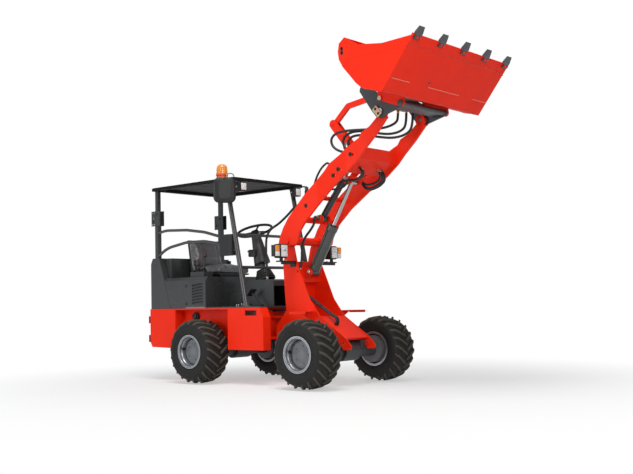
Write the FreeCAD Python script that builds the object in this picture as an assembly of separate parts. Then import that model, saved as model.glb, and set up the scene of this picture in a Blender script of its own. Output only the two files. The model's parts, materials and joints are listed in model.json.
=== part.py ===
"""Small articulated wheel loader with a raised boom and bucket.

Millimetres. +X points forward, +Y to the left, +Z up; the ground is Z = 0 and the
YZ plane through the origin cuts the overall length in half.
The rear frame carries the engine, the operator and the canopy. The front frame
turns on the articulation pin and carries the boom, its cylinders and the bucket.
"""
import FreeCAD, Part
import math
import os

V = FreeCAD.Vector

# ---- driving dimensions ---------------------------------------------------------
WHEELBASE = 1460.0
TRACK = 1120.0                 # between tyre centre planes
PIVOT_X = -306.0               # articulation pin, midway between the axles
TYRE_DIAMETER = 645.0
TYRE_WIDTH = 316.0
RIM_FLANGE_DIAMETER = 337.0
RIM_WIDTH = 284.0
DISC_DEPTH = 105.0             # wheel disc behind the outer flange
CLEARANCE = 0.5                # radial play of pins and bearings
SIDE_GAP = 6.0                 # play between moving neighbours

FRONT_AXLE_X = PIVOT_X + WHEELBASE / 2
REAR_AXLE_X = PIVOT_X - WHEELBASE / 2
AXLE_Z = TYRE_DIAMETER / 2
AXLE_DIAMETER = 130.0
HUB_DIAMETER = 215.0
SPINDLE_DIAMETER = 70.0

# rear frame
PLATE = 12.0
INNER_HALF = TRACK / 2 - TYRE_WIDTH / 2 - 22.0
BOX_INNER = INNER_HALF + 22.0  # inner face of the red side boxes
BODY_HALF = BOX_INNER + 103.0  # and their outer face
REAR_OVERHANG = 840.0          # rear axle to the back of the counterweight
WEIGHT_LENGTH = 407.0
FRAME_BOTTOM = 340.0
FRAME_TOP = 750.0
FLOOR_TOP = 762.0
ARCH_FRONT = 360.0             # front edge of the rear wheel arch, from the axle
BULKHEAD_BACK = 170.0          # bulkhead behind the articulation pin
BOX_FRONT = 120.0              # front of the side boxes ahead of the pin
BEAM_BOTTOM = 425.0
TOW_SLOT = (470.0, 530.0)
TOW_POCKET = 568.0             # floor of the pocket above the towing jaw
TOW_PIN_DIAMETER = 31.0

# articulation
PIN_DIAMETER = 60.0
FORK_RADIUS = 72.0
FORK_THICK = 25.0
FORK_LOW = 430.0
FORK_HIGH = 640.0

# bodywork
COVER_HALF = 490.0
COVER_TOP = 1075.0
COVER_WALL = 4.0
COVER_FRONT = 25.0             # front face of the engine cover, ahead of the rear axle
HOOD_TOP = 1292.0
CONSOLE_HALF = 150.0
CONSOLE_BACK = 470.0           # console faces behind the pin
CONSOLE_FRONT = 72.0
CONSOLE_TOP = 1030.0

# canopy
POST = 48.0
POST_BEHIND = 750.0            # rear posts behind the rear axle
ROOF_HALF = 520.0
ROOF_NOSE = -972.0             # front edge of the roof, from the front axle
ROOF_UNDER = 2015.0
ROOF_TOP = 2062.0
RAIL = 30.0
DOCUMENT_BACK = -1198.0        # back of the document box, where the rails end

# front frame
TOWER_HALF = 185.0             # outer face of the tower plates
BOOM_PIN = (-505.0, 1392.0)    # boom pivot from the front axle, height
BOOM_PIN_DIAMETER = 50.0
LIFT_FOOT = (-395.0, 1089.0)
FENDER_Z = 706.0
FENDER_HALF = 450.0

# boom and linkage, distances ahead of the front axle and heights
HITCH_PIN = (728.0, 2475.0)
HITCH_PIN_DIAMETER = 40.0
ARM_INNER = 240.0              # inner face of each arm at the boom pivot
ARM_TIP_INNER = 285.0          # and at the coupler
ARM_THICK = 25.0
ARM_FLARE = (-100.0, 300.0)    # the arms spread apart between these
LIFT_EYE = (118.0, 1938.0)
LEVER_PIN = (104.0, 2280.0)
LEVER_ARM = (-185.0, 231.0)    # lever pin to link pin, equal on lever and hitch
LEVER_FOOT = (253.0, 2270.0)
TILT_FOOT = (-263.0, 1609.0)
LIFT_BORE = 104.0
LIFT_ROD = 40.0
TILT_BORE = 64.0
TILT_ROD = 34.0
SMALL_PIN = 35.0
LEVER_TOP = (LEVER_PIN[0] + LEVER_ARM[0], LEVER_PIN[1] + LEVER_ARM[1])
LINK_END = (HITCH_PIN[0] + LEVER_ARM[0], HITCH_PIN[1] + LEVER_ARM[1])

# bucket
BUCKET_WIDTH = 1520.0
BUCKET_PLATE = 8.0
EDGE_PLATE = (455.0, 546.0)    # wear plate under the lip, reach from the heel
TEETH = 5
HITCH_PLATE = 16.0
HITCH_HALF = ARM_TIP_INNER + ARM_THICK + 10.0 + HITCH_PLATE


# ---- shape helpers --------------------------------------------------------------
def box(x0, x1, y0, y1, z0, z1):
    return Part.makeBox(x1 - x0, y1 - y0, z1 - z0, V(x0, y0, z0))


def cylinder(start, end, radius):
    start, end = V(*start), V(*end)
    axis = end - start
    return Part.makeCylinder(radius, axis.Length, start, axis)


def cross_pin(x, z, diameter, y0, y1):
    return cylinder((x, y0, z), (x, y1, z), diameter / 2)


def side_prism(points, y0, y1):
    """Outline in the XZ plane, extruded across the machine from y0 to y1."""
    corners = [V(x, y0, z) for x, z in points]
    face = Part.Face(Part.makePolygon(corners + corners[:1]))
    return face.extrude(V(0, y1 - y0, 0))


def plan_prism(points, z0, z1):
    """Outline in the XY plane, extruded upwards from z0 to z1."""
    corners = [V(x, y, z0) for x, y in points]
    face = Part.Face(Part.makePolygon(corners + corners[:1]))
    return face.extrude(V(0, 0, z1 - z0))


def join(*shapes):
    whole = shapes[0].fuse(list(shapes[1:])) if len(shapes) > 1 else shapes[0]
    return whole.removeSplitter()


def mirror_y(shape):
    return shape.mirror(V(0, 0, 0), V(0, 1, 0))


def both_sides(shape):
    return Part.makeCompound([shape, mirror_y(shape)])


def corner_bend(before, corner, after, bend):
    """Bend radius at a corner: the one asked for, or as large as its two runs allow."""
    half = (math.pi - (before - corner).getAngle(after - corner)) / 2
    shorter = min((before - corner).Length, (after - corner).Length)
    return half, bend or 0.45 * shorter / math.tan(half)


def bent_path(points, bend=None):
    """Straight runs joined by tangent arcs."""
    points = [V(*p) for p in points]
    edges = []
    start = points[0]
    for before, corner, after in zip(points, points[1:], points[2:]):
        half, radius = corner_bend(before, corner, after, bend)
        back = (before - corner).normalize()
        ahead = (after - corner).normalize()
        reach = radius * math.tan(half)
        first, last = corner + back * reach, corner + ahead * reach
        centre = corner + (back + ahead).normalize() * (radius / math.cos(half))
        middle = centre + (corner - centre).normalize() * radius
        edges.append(Part.LineSegment(start, first).toShape())
        edges.append(Part.Arc(first, middle, last).toShape())
        start = last
    edges.append(Part.LineSegment(start, points[-1]).toShape())
    return Part.Wire(edges)


def bent_tube(points, diameter, bend=None):
    path = bent_path(points, bend)
    start = V(*points[0])
    heading = V(*points[1]) - start
    section = Part.Wire([Part.makeCircle(diameter / 2, start, heading)])
    return path.makePipeShell([section], True, True)


def front(x):
    return FRONT_AXLE_X + x


def rear(x):
    return REAR_AXLE_X + x


def front_points(points):
    return [(front(x), z) for x, z in points]


def strap(start, end, width, y0, y1):
    """Flat bar with round ends between two pins, in the XZ plane."""
    (xa, za), (xb, zb) = start, end
    length = math.hypot(xb - xa, zb - za)
    nx, nz = -(zb - za) / length * width / 2, (xb - xa) / length * width / 2
    bar = side_prism([(xa + nx, za + nz), (xb + nx, zb + nz), (xb - nx, zb - nz), (xa - nx, za - nz)], y0, y1)
    return join(bar, cross_pin(xa, za, width, y0, y1), cross_pin(xb, zb, width, y0, y1))


def along(start, end, distance):
    length = math.hypot(end[0] - start[0], end[1] - start[1])
    share = distance / length
    return (start[0] + (end[0] - start[0]) * share, start[1] + (end[1] - start[1]) * share)


# ---- wheels ---------------------------------------------------------------------
def tyre(axle_x, side):
    """Wide flotation tyre, hollow, with rounded shoulders."""
    outer, half = TYRE_DIAMETER / 2, TYRE_WIDTH / 2
    bead, wall = RIM_FLANGE_DIAMETER / 2 - 14.0, 20.0
    flange = RIM_FLANGE_DIAMETER / 2 + 1.0
    crown, shoulder, bulge = outer - 9.0, outer - 62.0, outer - 92.0
    mid = side * TRACK / 2

    def point(y, r):
        return V(axle_x, mid + y, AXLE_Z + r)

    outline = [
        Part.Arc(point(-half + 38, outer - 24), point(0, outer), point(half - 38, outer - 24)).toShape(),
        Part.Arc(point(half - 38, outer - 24), point(half - 8, shoulder), point(half, bulge)).toShape(),
        Part.Arc(point(half, bulge), point(half - 6, bead + 40), point(half - 26, flange)).toShape(),
        Part.LineSegment(point(half - 26, flange), point(half - 26, bead)).toShape(),
        Part.LineSegment(point(half - 26, bead), point(half - 52, bead)).toShape(),
        Part.LineSegment(point(half - 52, bead), point(half - wall - 10, bulge)).toShape(),
        Part.LineSegment(point(half - wall - 10, bulge), point(half - 48, crown - 30)).toShape(),
        Part.LineSegment(point(half - 48, crown - 30), point(-half + 48, crown - 30)).toShape(),
        Part.LineSegment(point(-half + 48, crown - 30), point(-half + wall + 10, bulge)).toShape(),
        Part.LineSegment(point(-half + wall + 10, bulge), point(-half + 52, bead)).toShape(),
        Part.LineSegment(point(-half + 52, bead), point(-half + 26, bead)).toShape(),
        Part.LineSegment(point(-half + 26, bead), point(-half + 26, flange)).toShape(),
        Part.Arc(point(-half + 26, flange), point(-half + 6, bead + 40), point(-half, bulge)).toShape(),
        Part.Arc(point(-half, bulge), point(-half + 8, shoulder), point(-half + 38, outer - 24)).toShape(),
    ]
    section = Part.Face(Part.Wire(outline))
    return section.revolve(V(axle_x, mid, AXLE_Z), V(0, 1, 0), 360)


def rim(axle_x, side):
    """Pressed steel rim: barrel, two flanges and a deep-set disc."""
    mid = side * TRACK / 2
    half = RIM_WIDTH / 2
    flange, seat, wall = RIM_FLANGE_DIAMETER / 2, RIM_FLANGE_DIAMETER / 2 - 14.5, 6.0
    disc = side * (half - DISC_DEPTH)
    barrel = cross_pin(axle_x, AXLE_Z, 2 * seat, mid - half, mid + half)
    lips = [cross_pin(axle_x, AXLE_Z, 2 * flange, mid + y - 4, mid + y + 4) for y in (4 - half, half - 4)]
    shell = join(barrel, *lips)
    bore = cross_pin(axle_x, AXLE_Z, 2 * (seat - wall), mid - half - 1, mid + half + 1)
    shell = shell.cut(bore)
    plate = cross_pin(axle_x, AXLE_Z, 2 * seat - 1, mid + disc - 5, mid + disc + 5)
    plate = plate.cut(cross_pin(axle_x, AXLE_Z, SPINDLE_DIAMETER + 2 * CLEARANCE, mid + disc - 6, mid + disc + 6))
    return join(shell, plate)


def axle(axle_x):
    """Cross tube with a drive motor housing and a spindle at each wheel."""
    disc = TRACK / 2 + RIM_WIDTH / 2 - DISC_DEPTH
    face = disc - 5 - CLEARANCE
    tube = cross_pin(axle_x, AXLE_Z, AXLE_DIAMETER, -face + 60, face - 60)
    parts = [tube, cross_pin(axle_x, AXLE_Z, 190, -110, 110)]
    for side in (-1, 1):
        parts.append(cross_pin(axle_x, AXLE_Z, HUB_DIAMETER, *sorted((side * (face - 150), side * face))))
        parts.append(cross_pin(axle_x, AXLE_Z, SPINDLE_DIAMETER, *sorted((side * face, side * (disc + 38)))))
        parts.append(box(axle_x - 90, axle_x + 90, *sorted((side * 108, side * 164)), AXLE_Z + 20, BEAM_BOTTOM))
    return join(*parts)


# ---- rear frame -----------------------------------------------------------------
def rear_chassis():
    """Belly box between the wheels, arch plates over them and the articulation fork."""
    back = rear(-REAR_OVERHANG + WEIGHT_LENGTH)
    head = PIVOT_X - BULKHEAD_BACK
    parts = [box(back, head, -INNER_HALF, INNER_HALF, BEAM_BOTTOM, BEAM_BOTTOM + PLATE)]
    parts.append(box(head - PLATE, head, -INNER_HALF, INNER_HALF, BEAM_BOTTOM, FRAME_TOP))
    parts.append(box(back, back + PLATE, -INNER_HALF, INNER_HALF, BEAM_BOTTOM, FRAME_TOP))
    for side in (-1, 1):
        inner, outer = sorted((side * (INNER_HALF - PLATE), side * INNER_HALF))
        parts.append(box(back, head, inner, outer, BEAM_BOTTOM, FRAME_TOP))
        shelf = sorted((side * (INNER_HALF - PLATE), side * BODY_HALF))
        parts.append(box(back, rear(ARCH_FRONT), *shelf, FRAME_TOP - PLATE, FRAME_TOP))
    for low in (FORK_LOW, FORK_HIGH):
        outline = [(head, -110), (PIVOT_X, -FORK_RADIUS), (PIVOT_X, FORK_RADIUS), (head, 110)]
        fork = plan_prism(outline, low, low + FORK_THICK)
        eye = cylinder((PIVOT_X, 0, low), (PIVOT_X, 0, low + FORK_THICK), FORK_RADIUS)
        parts.append(join(fork, eye))
    body = join(*parts)
    return body.cut(cylinder((PIVOT_X, 0, 0), (PIVOT_X, 0, 2 * FRAME_TOP), PIN_DIAMETER / 2 - 0.01))


def articulation_pin():
    low, high = FORK_LOW - 12, FORK_HIGH + FORK_THICK
    pin = cylinder((PIVOT_X, 0, low), (PIVOT_X, 0, high), PIN_DIAMETER / 2 - 0.01)
    cap = cylinder((PIVOT_X, 0, high), (PIVOT_X, 0, high + 14), PIN_DIAMETER / 2 + 14)
    return join(pin, cap)


def side_boxes():
    """Hollow step and tank boxes, with the upper front corner cut down."""
    back, nose = rear(ARCH_FRONT), PIVOT_X + BOX_FRONT
    outline = [
        (back, FRAME_BOTTOM), (nose, FRAME_BOTTOM), (nose, FRAME_TOP - 90),
        (nose - 40, FRAME_TOP), (back, FRAME_TOP)]
    solid = side_prism(outline, -BODY_HALF, -BOX_INNER)
    core = side_prism([
        (back + PLATE, FRAME_BOTTOM + PLATE), (nose - PLATE, FRAME_BOTTOM + PLATE),
        (nose - PLATE, FRAME_TOP - 96), (nose - 50, FRAME_TOP - PLATE), (back + PLATE, FRAME_TOP - PLATE)],
        -BODY_HALF + 5, -BOX_INNER - 5)
    shell = solid.cut(core)
    bridge = box(back, PIVOT_X - BULKHEAD_BACK, -BOX_INNER, -INNER_HALF, FRAME_BOTTOM + 60, FRAME_TOP)
    step = box(nose - 245, nose - 90, -BODY_HALF - 1, -BODY_HALF + 6, FRAME_TOP - 75, FRAME_TOP - 25)
    return both_sides(join(shell, bridge).cut(step))


def counterweight():
    back = rear(-REAR_OVERHANG)
    nose = back + WEIGHT_LENGTH - 0.01
    outline = [
        (back + 30, FRAME_BOTTOM + 8), (nose, FRAME_BOTTOM), (nose, FRAME_TOP),
        (back, FRAME_TOP), (back, FRAME_BOTTOM + 60)]
    weight = side_prism(outline, -BODY_HALF, BODY_HALF)
    slot = box(back - 1, back + 150, -45, 45, *TOW_SLOT)
    pocket = box(back - 1, back + 105, -45, 45, TOW_POCKET, TOW_POCKET + 85)
    weight = weight.cut(slot).cut(pocket)
    return weight.cut(cylinder((back + 60, 0, TOW_SLOT[0] - 40), (back + 60, 0, TOW_POCKET + 1), TOW_PIN_DIAMETER / 2 + CLEARANCE))


def tow_pin():
    x = rear(-REAR_OVERHANG) + 60
    pin = cylinder((x, 0, TOW_SLOT[0] - 38), (x, 0, TOW_POCKET + 45), TOW_PIN_DIAMETER / 2)
    collar = cylinder((x, 0, TOW_POCKET), (x, 0, TOW_POCKET + 10), 24)
    return join(pin, collar)


def bumpers():
    x = rear(-REAR_OVERHANG)
    pads = [box(x - 28, x, y - 60, y + 60, z, z + 75) for y in (-400, 400) for z in (400, 600)]
    return Part.makeCompound(pads)


def engine_block():
    return box(rear(-400), rear(-40), -210, 210, BEAM_BOTTOM + PLATE, 940)


# ---- bodywork -------------------------------------------------------------------
def seam_x(z):
    """Slanted joint between the rear hood and the engine cover."""
    return rear(-520 - 180 * (z - FRAME_TOP) / (HOOD_TOP - FRAME_TOP))


def rear_hood():
    back = rear(-REAR_OVERHANG)
    wall = COVER_WALL

    def outline(inset):
        return [
            (back + inset, FRAME_TOP - (10 if inset else 0)), (seam_x(FRAME_TOP) - 4, FRAME_TOP - (10 if inset else 0)),
            (seam_x(HOOD_TOP) - 4, HOOD_TOP - inset), (back + 30 + inset, HOOD_TOP - inset),
            (back + inset, HOOD_TOP - 60 - inset)]

    skin = side_prism(outline(0), -COVER_HALF, COVER_HALF)
    room = side_prism(outline(wall), -COVER_HALF + wall, COVER_HALF - wall)
    hood = skin.cut(room)
    for z in range(820, 1180, 40):
        hood = hood.cut(box(back - 1, back + 10, -300, 300, z, z + 18))
    gap = 3.0
    outer, inner = COVER_HALF - COVER_WALL - 2 + gap, COVER_HALF - COVER_WALL - 2 - POST - gap
    for side in (-1, 1):
        y = sorted((side * inner, side * outer))
        hood = hood.cut(box(POST_X - POST / 2 - gap, POST_X + POST / 2 + gap, *y, HOOD_TOP - 20, HOOD_TOP + 1))
    return hood


def engine_cover():
    """Cover under the seat: two sides, top and front face, with louvres each side."""
    nose = rear(COVER_FRONT)
    wall, chamfer = COVER_WALL, 34.0

    def section(inset):
        half, top = COVER_HALF - inset, COVER_TOP - inset
        low = FRAME_TOP if not inset else FRAME_TOP - 10
        return [(-half, low), (half, low), (half, top - chamfer), (half - chamfer, top),
                (-half + chamfer, top), (-half, top - chamfer)]

    def loft(inset, start, end):
        corners = [V(start, y, z) for y, z in section(inset)]
        return Part.Face(Part.makePolygon(corners + corners[:1])).extrude(V(end - start, 0, 0))

    back = rear(-760)
    cover = loft(0, back, nose).cut(loft(wall, back - 1, nose - wall))
    cut = [(back - 50, FRAME_TOP - 20), (seam_x(FRAME_TOP - 20), FRAME_TOP - 20),
           (seam_x(HOOD_TOP), HOOD_TOP), (back - 50, HOOD_TOP)]
    cover = cover.cut(side_prism(cut, -COVER_HALF - 5, COVER_HALF + 5))
    for row in range(7):
        z = 800 + 30 * row
        slot = side_prism([(nose - 205, z), (nose - 45, z + 14), (nose - 45, z + 28), (nose - 205, z + 14)],
                          -COVER_HALF - 5, COVER_HALF + 5)
        cover = cover.cut(slot)
    return cover


def seat_back_box():
    """Air cleaner and radiator cover standing behind the seat, along the hood's slant."""
    nose, low, high = rear(-585), COVER_TOP, HOOD_TOP - 4
    gap, wall = 3.0, COVER_WALL

    def outline(inset):
        slack = gap + 1.1 * inset
        bottom = low - (1 if inset else 0)
        return [(seam_x(bottom) + slack, bottom), (nose - inset, bottom), (nose - inset, high - inset),
                (seam_x(high - inset) + slack, high - inset)]

    return side_prism(outline(0), -420, 420).cut(side_prism(outline(wall), -420 + wall, 420 - wall))


def floor_plate():
    back, nose = rear(COVER_FRONT), PIVOT_X - CONSOLE_FRONT
    plate = box(back, nose, -BODY_HALF, BODY_HALF, FRAME_TOP, FLOOR_TOP)
    wing = box(nose - 1, PIVOT_X + BOX_FRONT - 45, -BODY_HALF, -BOX_INNER - 2, FRAME_TOP, FLOOR_TOP)
    return join(plate, wing, mirror_y(wing))


def front_console():
    back, nose = PIVOT_X - CONSOLE_BACK, PIVOT_X - CONSOLE_FRONT
    outline = [(back, FLOOR_TOP), (nose, FLOOR_TOP), (nose, CONSOLE_TOP - 20), (nose - 30, CONSOLE_TOP),
               (back + 40, CONSOLE_TOP), (back, CONSOLE_TOP - 40)]
    solid = side_prism(outline, -CONSOLE_HALF, CONSOLE_HALF)
    room = box(back + 6, nose + 1, -CONSOLE_HALF + 5, CONSOLE_HALF - 5, FLOOR_TOP - 1, CONSOLE_TOP - 66)
    return solid.cut(room)


def pedals():
    parts = []
    for y in (-240, 240):
        x = PIVOT_X - 330
        pad = side_prism([(x, FLOOR_TOP + 110), (x + 60, FLOOR_TOP + 175), (x + 66, FLOOR_TOP + 168),
                          (x + 6, FLOOR_TOP + 103)], y - 45, y + 45)
        arm = strap((x + 40, FLOOR_TOP + 140), (x + 150, FLOOR_TOP + 12), 20, y - 6, y + 6)
        foot = box(x + 120, x + 180, y - 25, y + 25, FLOOR_TOP, FLOOR_TOP + 16)
        parts.append(join(pad, arm, foot))
    return Part.makeCompound(parts)


STEER_CENTRE = (front(-1204), 0.0, 1545.0)
STEER_AXIS = V(-0.30, 0, 1.0).normalize()


def steering_column():
    top = V(*STEER_CENTRE) - STEER_AXIS * 40
    foot = top - STEER_AXIS * 520
    tube = Part.makeCylinder(26, 520, foot, STEER_AXIS)
    cover = Part.makeCone(85, 48, 300, top - STEER_AXIS * 320, STEER_AXIS)
    boot = Part.makeCone(100, 66, 110, V(foot.x - 8, 0, CONSOLE_TOP), V(-0.3, 0, 1))
    low = box(PIVOT_X - CONSOLE_BACK, PIVOT_X, -200, 200, 0, CONSOLE_TOP)
    return join(tube, cover, boot).cut(low)


def steering_wheel():
    centre = V(*STEER_CENTRE)
    ring = Part.makeTorus(180, 13, centre, STEER_AXIS)
    hub = Part.makeCylinder(38, 40, centre - STEER_AXIS * 40, STEER_AXIS)
    parts = [ring, hub]
    across = V(0, 1, 0)
    ahead = across.cross(STEER_AXIS)
    for turn in (90, 210, 330):
        out = across * math.sin(math.radians(turn)) + ahead * math.cos(math.radians(turn))
        parts.append(Part.makeCylinder(9, 178, centre - STEER_AXIS * 14, out + STEER_AXIS * 0.08))
    knob = centre + ahead * -110 + across * 142 + STEER_AXIS * 8
    parts.append(Part.makeCylinder(16, 52, knob, STEER_AXIS))
    return join(*parts)


SEAT_X = front(-1735)


def seat_base():
    low = box(SEAT_X - 190, SEAT_X + 190, -185, 185, COVER_TOP, COVER_TOP + 22)
    pan = box(SEAT_X - 215, SEAT_X + 215, -215, 215, COVER_TOP + 22, COVER_TOP + 40)
    back = side_prism([(SEAT_X - 235, COVER_TOP + 40), (SEAT_X - 200, COVER_TOP + 40),
                       (SEAT_X - 262, COVER_TOP + 410), (SEAT_X - 297, COVER_TOP + 410)], -205, 205)
    return join(low, pan, back)


def seat_cushion():
    return box(SEAT_X - 165, SEAT_X + 228, -228, 228, COVER_TOP + 40.5, COVER_TOP + 118)


def seat_backrest():
    low, high = COVER_TOP + 60, COVER_TOP + 425

    def pan_x(z):
        return SEAT_X - 200 - 62 * (z - COVER_TOP - 40) / 370 + 0.5

    return side_prism([(pan_x(low), low), (SEAT_X - 168, low + 55), (SEAT_X - 190, high - 30),
                       (SEAT_X - 215, high), (pan_x(high), high)], -222, 222)


def joystick_console():
    x, y = front(-1640), -345.0
    base = box(x - 120, x + 90, y - 60, y + 60, COVER_TOP, COVER_TOP + 55)
    parts = [base]
    for dx, height, lean in ((20, 215, 18), (-60, 130, -10)):
        parts.append(cylinder((x + dx, y, COVER_TOP + 50), (x + dx + lean, y, COVER_TOP + height), 9))
        parts.append(Part.makeSphere(27, V(x + dx + lean, y, COVER_TOP + height + 12)))
    return join(*parts)


# ---- canopy and guards ----------------------------------------------------------
POST_X = rear(-POST_BEHIND)


def rear_posts():
    """Roll-over posts: leg inside the hood, folding joint and upper post."""
    half = POST / 2
    y0, y1 = -COVER_HALF + COVER_WALL + 2, -COVER_HALF + COVER_WALL + 2 + POST
    low = box(POST_X - half, POST_X + half, y0, y1, FRAME_TOP, 1655)
    foot = box(POST_X - 60, POST_X + 60, y0, y1 + 40, FRAME_TOP, FRAME_TOP + 12)
    high = box(POST_X - half + 3, POST_X + half - 3, y0 + 3, y1 - 3, 1650, ROOF_UNDER)
    cheeks = [box(POST_X - 72, POST_X + 62, *y, 1640, 1800) for y in ((y0 - 8, y0 + 1), (y1 - 1, y1 + 8))]
    bolts = [cross_pin(POST_X + dx, z, 22, y0 - 18, y1 + 18) for dx, z in ((-48, 1690), (12, 1765))]
    block = box(POST_X - 66, POST_X - half + 5, y0 - 1, y1 + 1, 1662, 1720)
    return both_sides(join(low, foot, high, block, *cheeks, *bolts))


FRONT_POST_FOOT = (front(-844), -492.0, FLOOR_TOP)
FRONT_POST_HEAD = (front(-1112), -480.0, ROOF_UNDER)


def front_posts():
    """Slanted front tubes joined by two cross bars, with foot plates."""
    def at(z):
        share = (z - FLOOR_TOP) / (ROOF_UNDER - FLOOR_TOP)
        return tuple(a + (b - a) * share for a, b in zip(FRONT_POST_FOOT, FRONT_POST_HEAD))

    post = cylinder(FRONT_POST_FOOT, FRONT_POST_HEAD, 24)
    x = FRONT_POST_FOOT[0]
    foot = box(x - 60, x + 55, -BODY_HALF, -BODY_HALF + 70, FLOOR_TOP, FLOOR_TOP + 10)
    head = box(FRONT_POST_HEAD[0] - 45, FRONT_POST_HEAD[0] + 45, -505, -455, ROOF_UNDER - 10, ROOF_UNDER)
    limit = box(x - 600, x + 600, -600, 600, FLOOR_TOP, ROOF_UNDER)
    side = join(post, foot, head).common(limit)
    bars = []
    for z in (1150, 1478):
        x, y, _ = at(z)
        bars.append(cross_pin(x, z, RAIL, y, -y))
    return join(side, mirror_y(side), *bars)


def canopy_roof():
    """Pressed roof sheet with a turned-down rim and shallow crown."""
    back = POST_X - 32
    nose = front(ROOF_NOSE)
    outer = box(back, nose, -ROOF_HALF, ROOF_HALF, ROOF_UNDER, ROOF_TOP - 14)
    outer = outer.makeFillet(40, [e for e in outer.Edges if abs(e.Vertexes[0].Z - e.Vertexes[-1].Z) > 5])
    crown = box(back + 90, nose - 90, -ROOF_HALF + 90, ROOF_HALF - 90, ROOF_TOP - 15, ROOF_TOP)
    crown = crown.makeChamfer(13, [e for e in crown.Edges if min(v.Z for v in e.Vertexes) > ROOF_TOP - 1])
    inner = box(back + 30, nose - 30, -ROOF_HALF + 30, ROOF_HALF - 30, ROOF_UNDER - 1, ROOF_TOP - 20)
    roof = join(outer, crown).cut(inner)
    pads = [box(POST_X - 40, POST_X + 40, *sorted((s * 470, s * 509)), ROOF_UNDER, ROOF_TOP - 16) for s in (-1, 1)]
    head = FRONT_POST_HEAD[0]
    pads += [box(head - 50, head + 50, *sorted((s * 450, s * 509)), ROOF_UNDER, ROOF_TOP - 16) for s in (-1, 1)]
    beam = box(POST_X - 20, POST_X + 20, -480, 480, ROOF_UNDER, ROOF_TOP - 16)
    return join(roof, beam, *pads)


def guard_rails():
    """Two curved rails on the right, from the rear post to the document box."""
    y = -468.0
    post = POST_X + POST / 2
    rails = []
    for heights in ((1565, 1583, 1568, 1530, 1462), (1318, 1392, 1440, 1436, 1392)):
        xs = [post, front(-2070), front(-1740), front(-1465), front(DOCUMENT_BACK)]
        rail = bent_tube([(x, y, z) for x, z in zip(xs, heights)], RAIL, 500)
        rails.append(rail.common(box(post, xs[-1], y - RAIL, y + RAIL, min(heights) - 99, max(heights) + 99)))
    return Part.makeCompound(rails)


def document_box():
    """Round-fronted holder for the papers, clamped to the right front post."""
    x0, x1, y0, y1, z0, z1 = front(DOCUMENT_BACK), front(-1015), -522, -444, 1272, 1482
    case = box(x0, x1, y0, y1, z0, z1)
    case = case.makeFillet(22, [e for e in case.Edges if abs(e.Vertexes[0].Z - e.Vertexes[-1].Z) > 5])
    case = case.cut(box(x0 + 6, x1 - 6, y0 + 6, y1 - 6, z0 + 6, z1 - 30))
    clamps = [box(x1 - 2, x1 + 38, -497, -472, z, z + 26) for z in (z0 + 40, z1 - 60)]
    return join(case, *clamps).cut(cylinder(FRONT_POST_FOOT, FRONT_POST_HEAD, POST / 2 + 0.1))


def mirrors():
    x, z = front(-1005), 1915.0
    parts = []
    for side in (-1, 1):
        y = side * 610
        case = box(x - 25, x + 20, y - 85, y + 85, z - 125, z + 125)
        case = case.makeFillet(20, case.Edges)
        arm = bent_tube([(front(-1060), side * (ROOF_HALF + 0.2), ROOF_UNDER + 20),
                         (x, side * (ROOF_HALF + 50), ROOF_UNDER + 20), (x, y, z + 100)], 16, 22)
        arm = arm.common(box(x - 300, x + 300, *sorted((side * ROOF_HALF, side * (ROOF_HALF + 300))), z, ROOF_TOP))
        parts.append(join(case, arm))
    return Part.makeCompound(parts)


def beacon():
    x, y = front(-1368), -300.0
    foot = cylinder((x, y, ROOF_TOP), (x, y, ROOF_TOP + 52), 62)
    dome = cylinder((x, y, ROOF_TOP + 52), (x, y, ROOF_TOP + 118), 56)
    crown = Part.makeSphere(56, V(x, y, ROOF_TOP + 118)).cut(box(x - 99, x + 99, y - 99, y + 99, 0, ROOF_TOP + 118))
    squash = FreeCAD.Matrix()
    squash.scale(1, 1, 0.5)
    squash.move(V(0, 0, (ROOF_TOP + 118) * 0.5))
    return join(foot, dome, crown.transformGeometry(squash))


def work_lights():
    x = front(ROOF_NOSE)
    parts = []
    for y in (-404, 404):
        case = box(x - 50, x + 22, y - 46, y + 46, ROOF_UNDER - 103, ROOF_UNDER - 12)
        case = case.makeFillet(14, case.Edges)
        stem = cylinder((x - 15, y, ROOF_UNDER - 20), (x - 15, y, ROOF_UNDER), 9)
        bracket = box(x - 35, x - 2, y - 22, y + 22, ROOF_UNDER - 5, ROOF_UNDER)
        parts.append(join(case, stem, bracket))
    return Part.makeCompound(parts)


# ---- front frame ----------------------------------------------------------------
TOWER_OUTLINE = [
    (-563, 1392), (-505, 1450), (-452, 1415), (-484, 1338), (-441, 1153), (-293, 819), (-167, 657),
    (153, 444), (211, 378), (205, 345), (120, 338), (75, 396), (-90, 400), (-740, 400), (-740, 560),
    (-600, 720), (-611, 825), (-632, 1162), (-590, 1330)]
FRONT_BULKHEAD = -575.0


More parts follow.
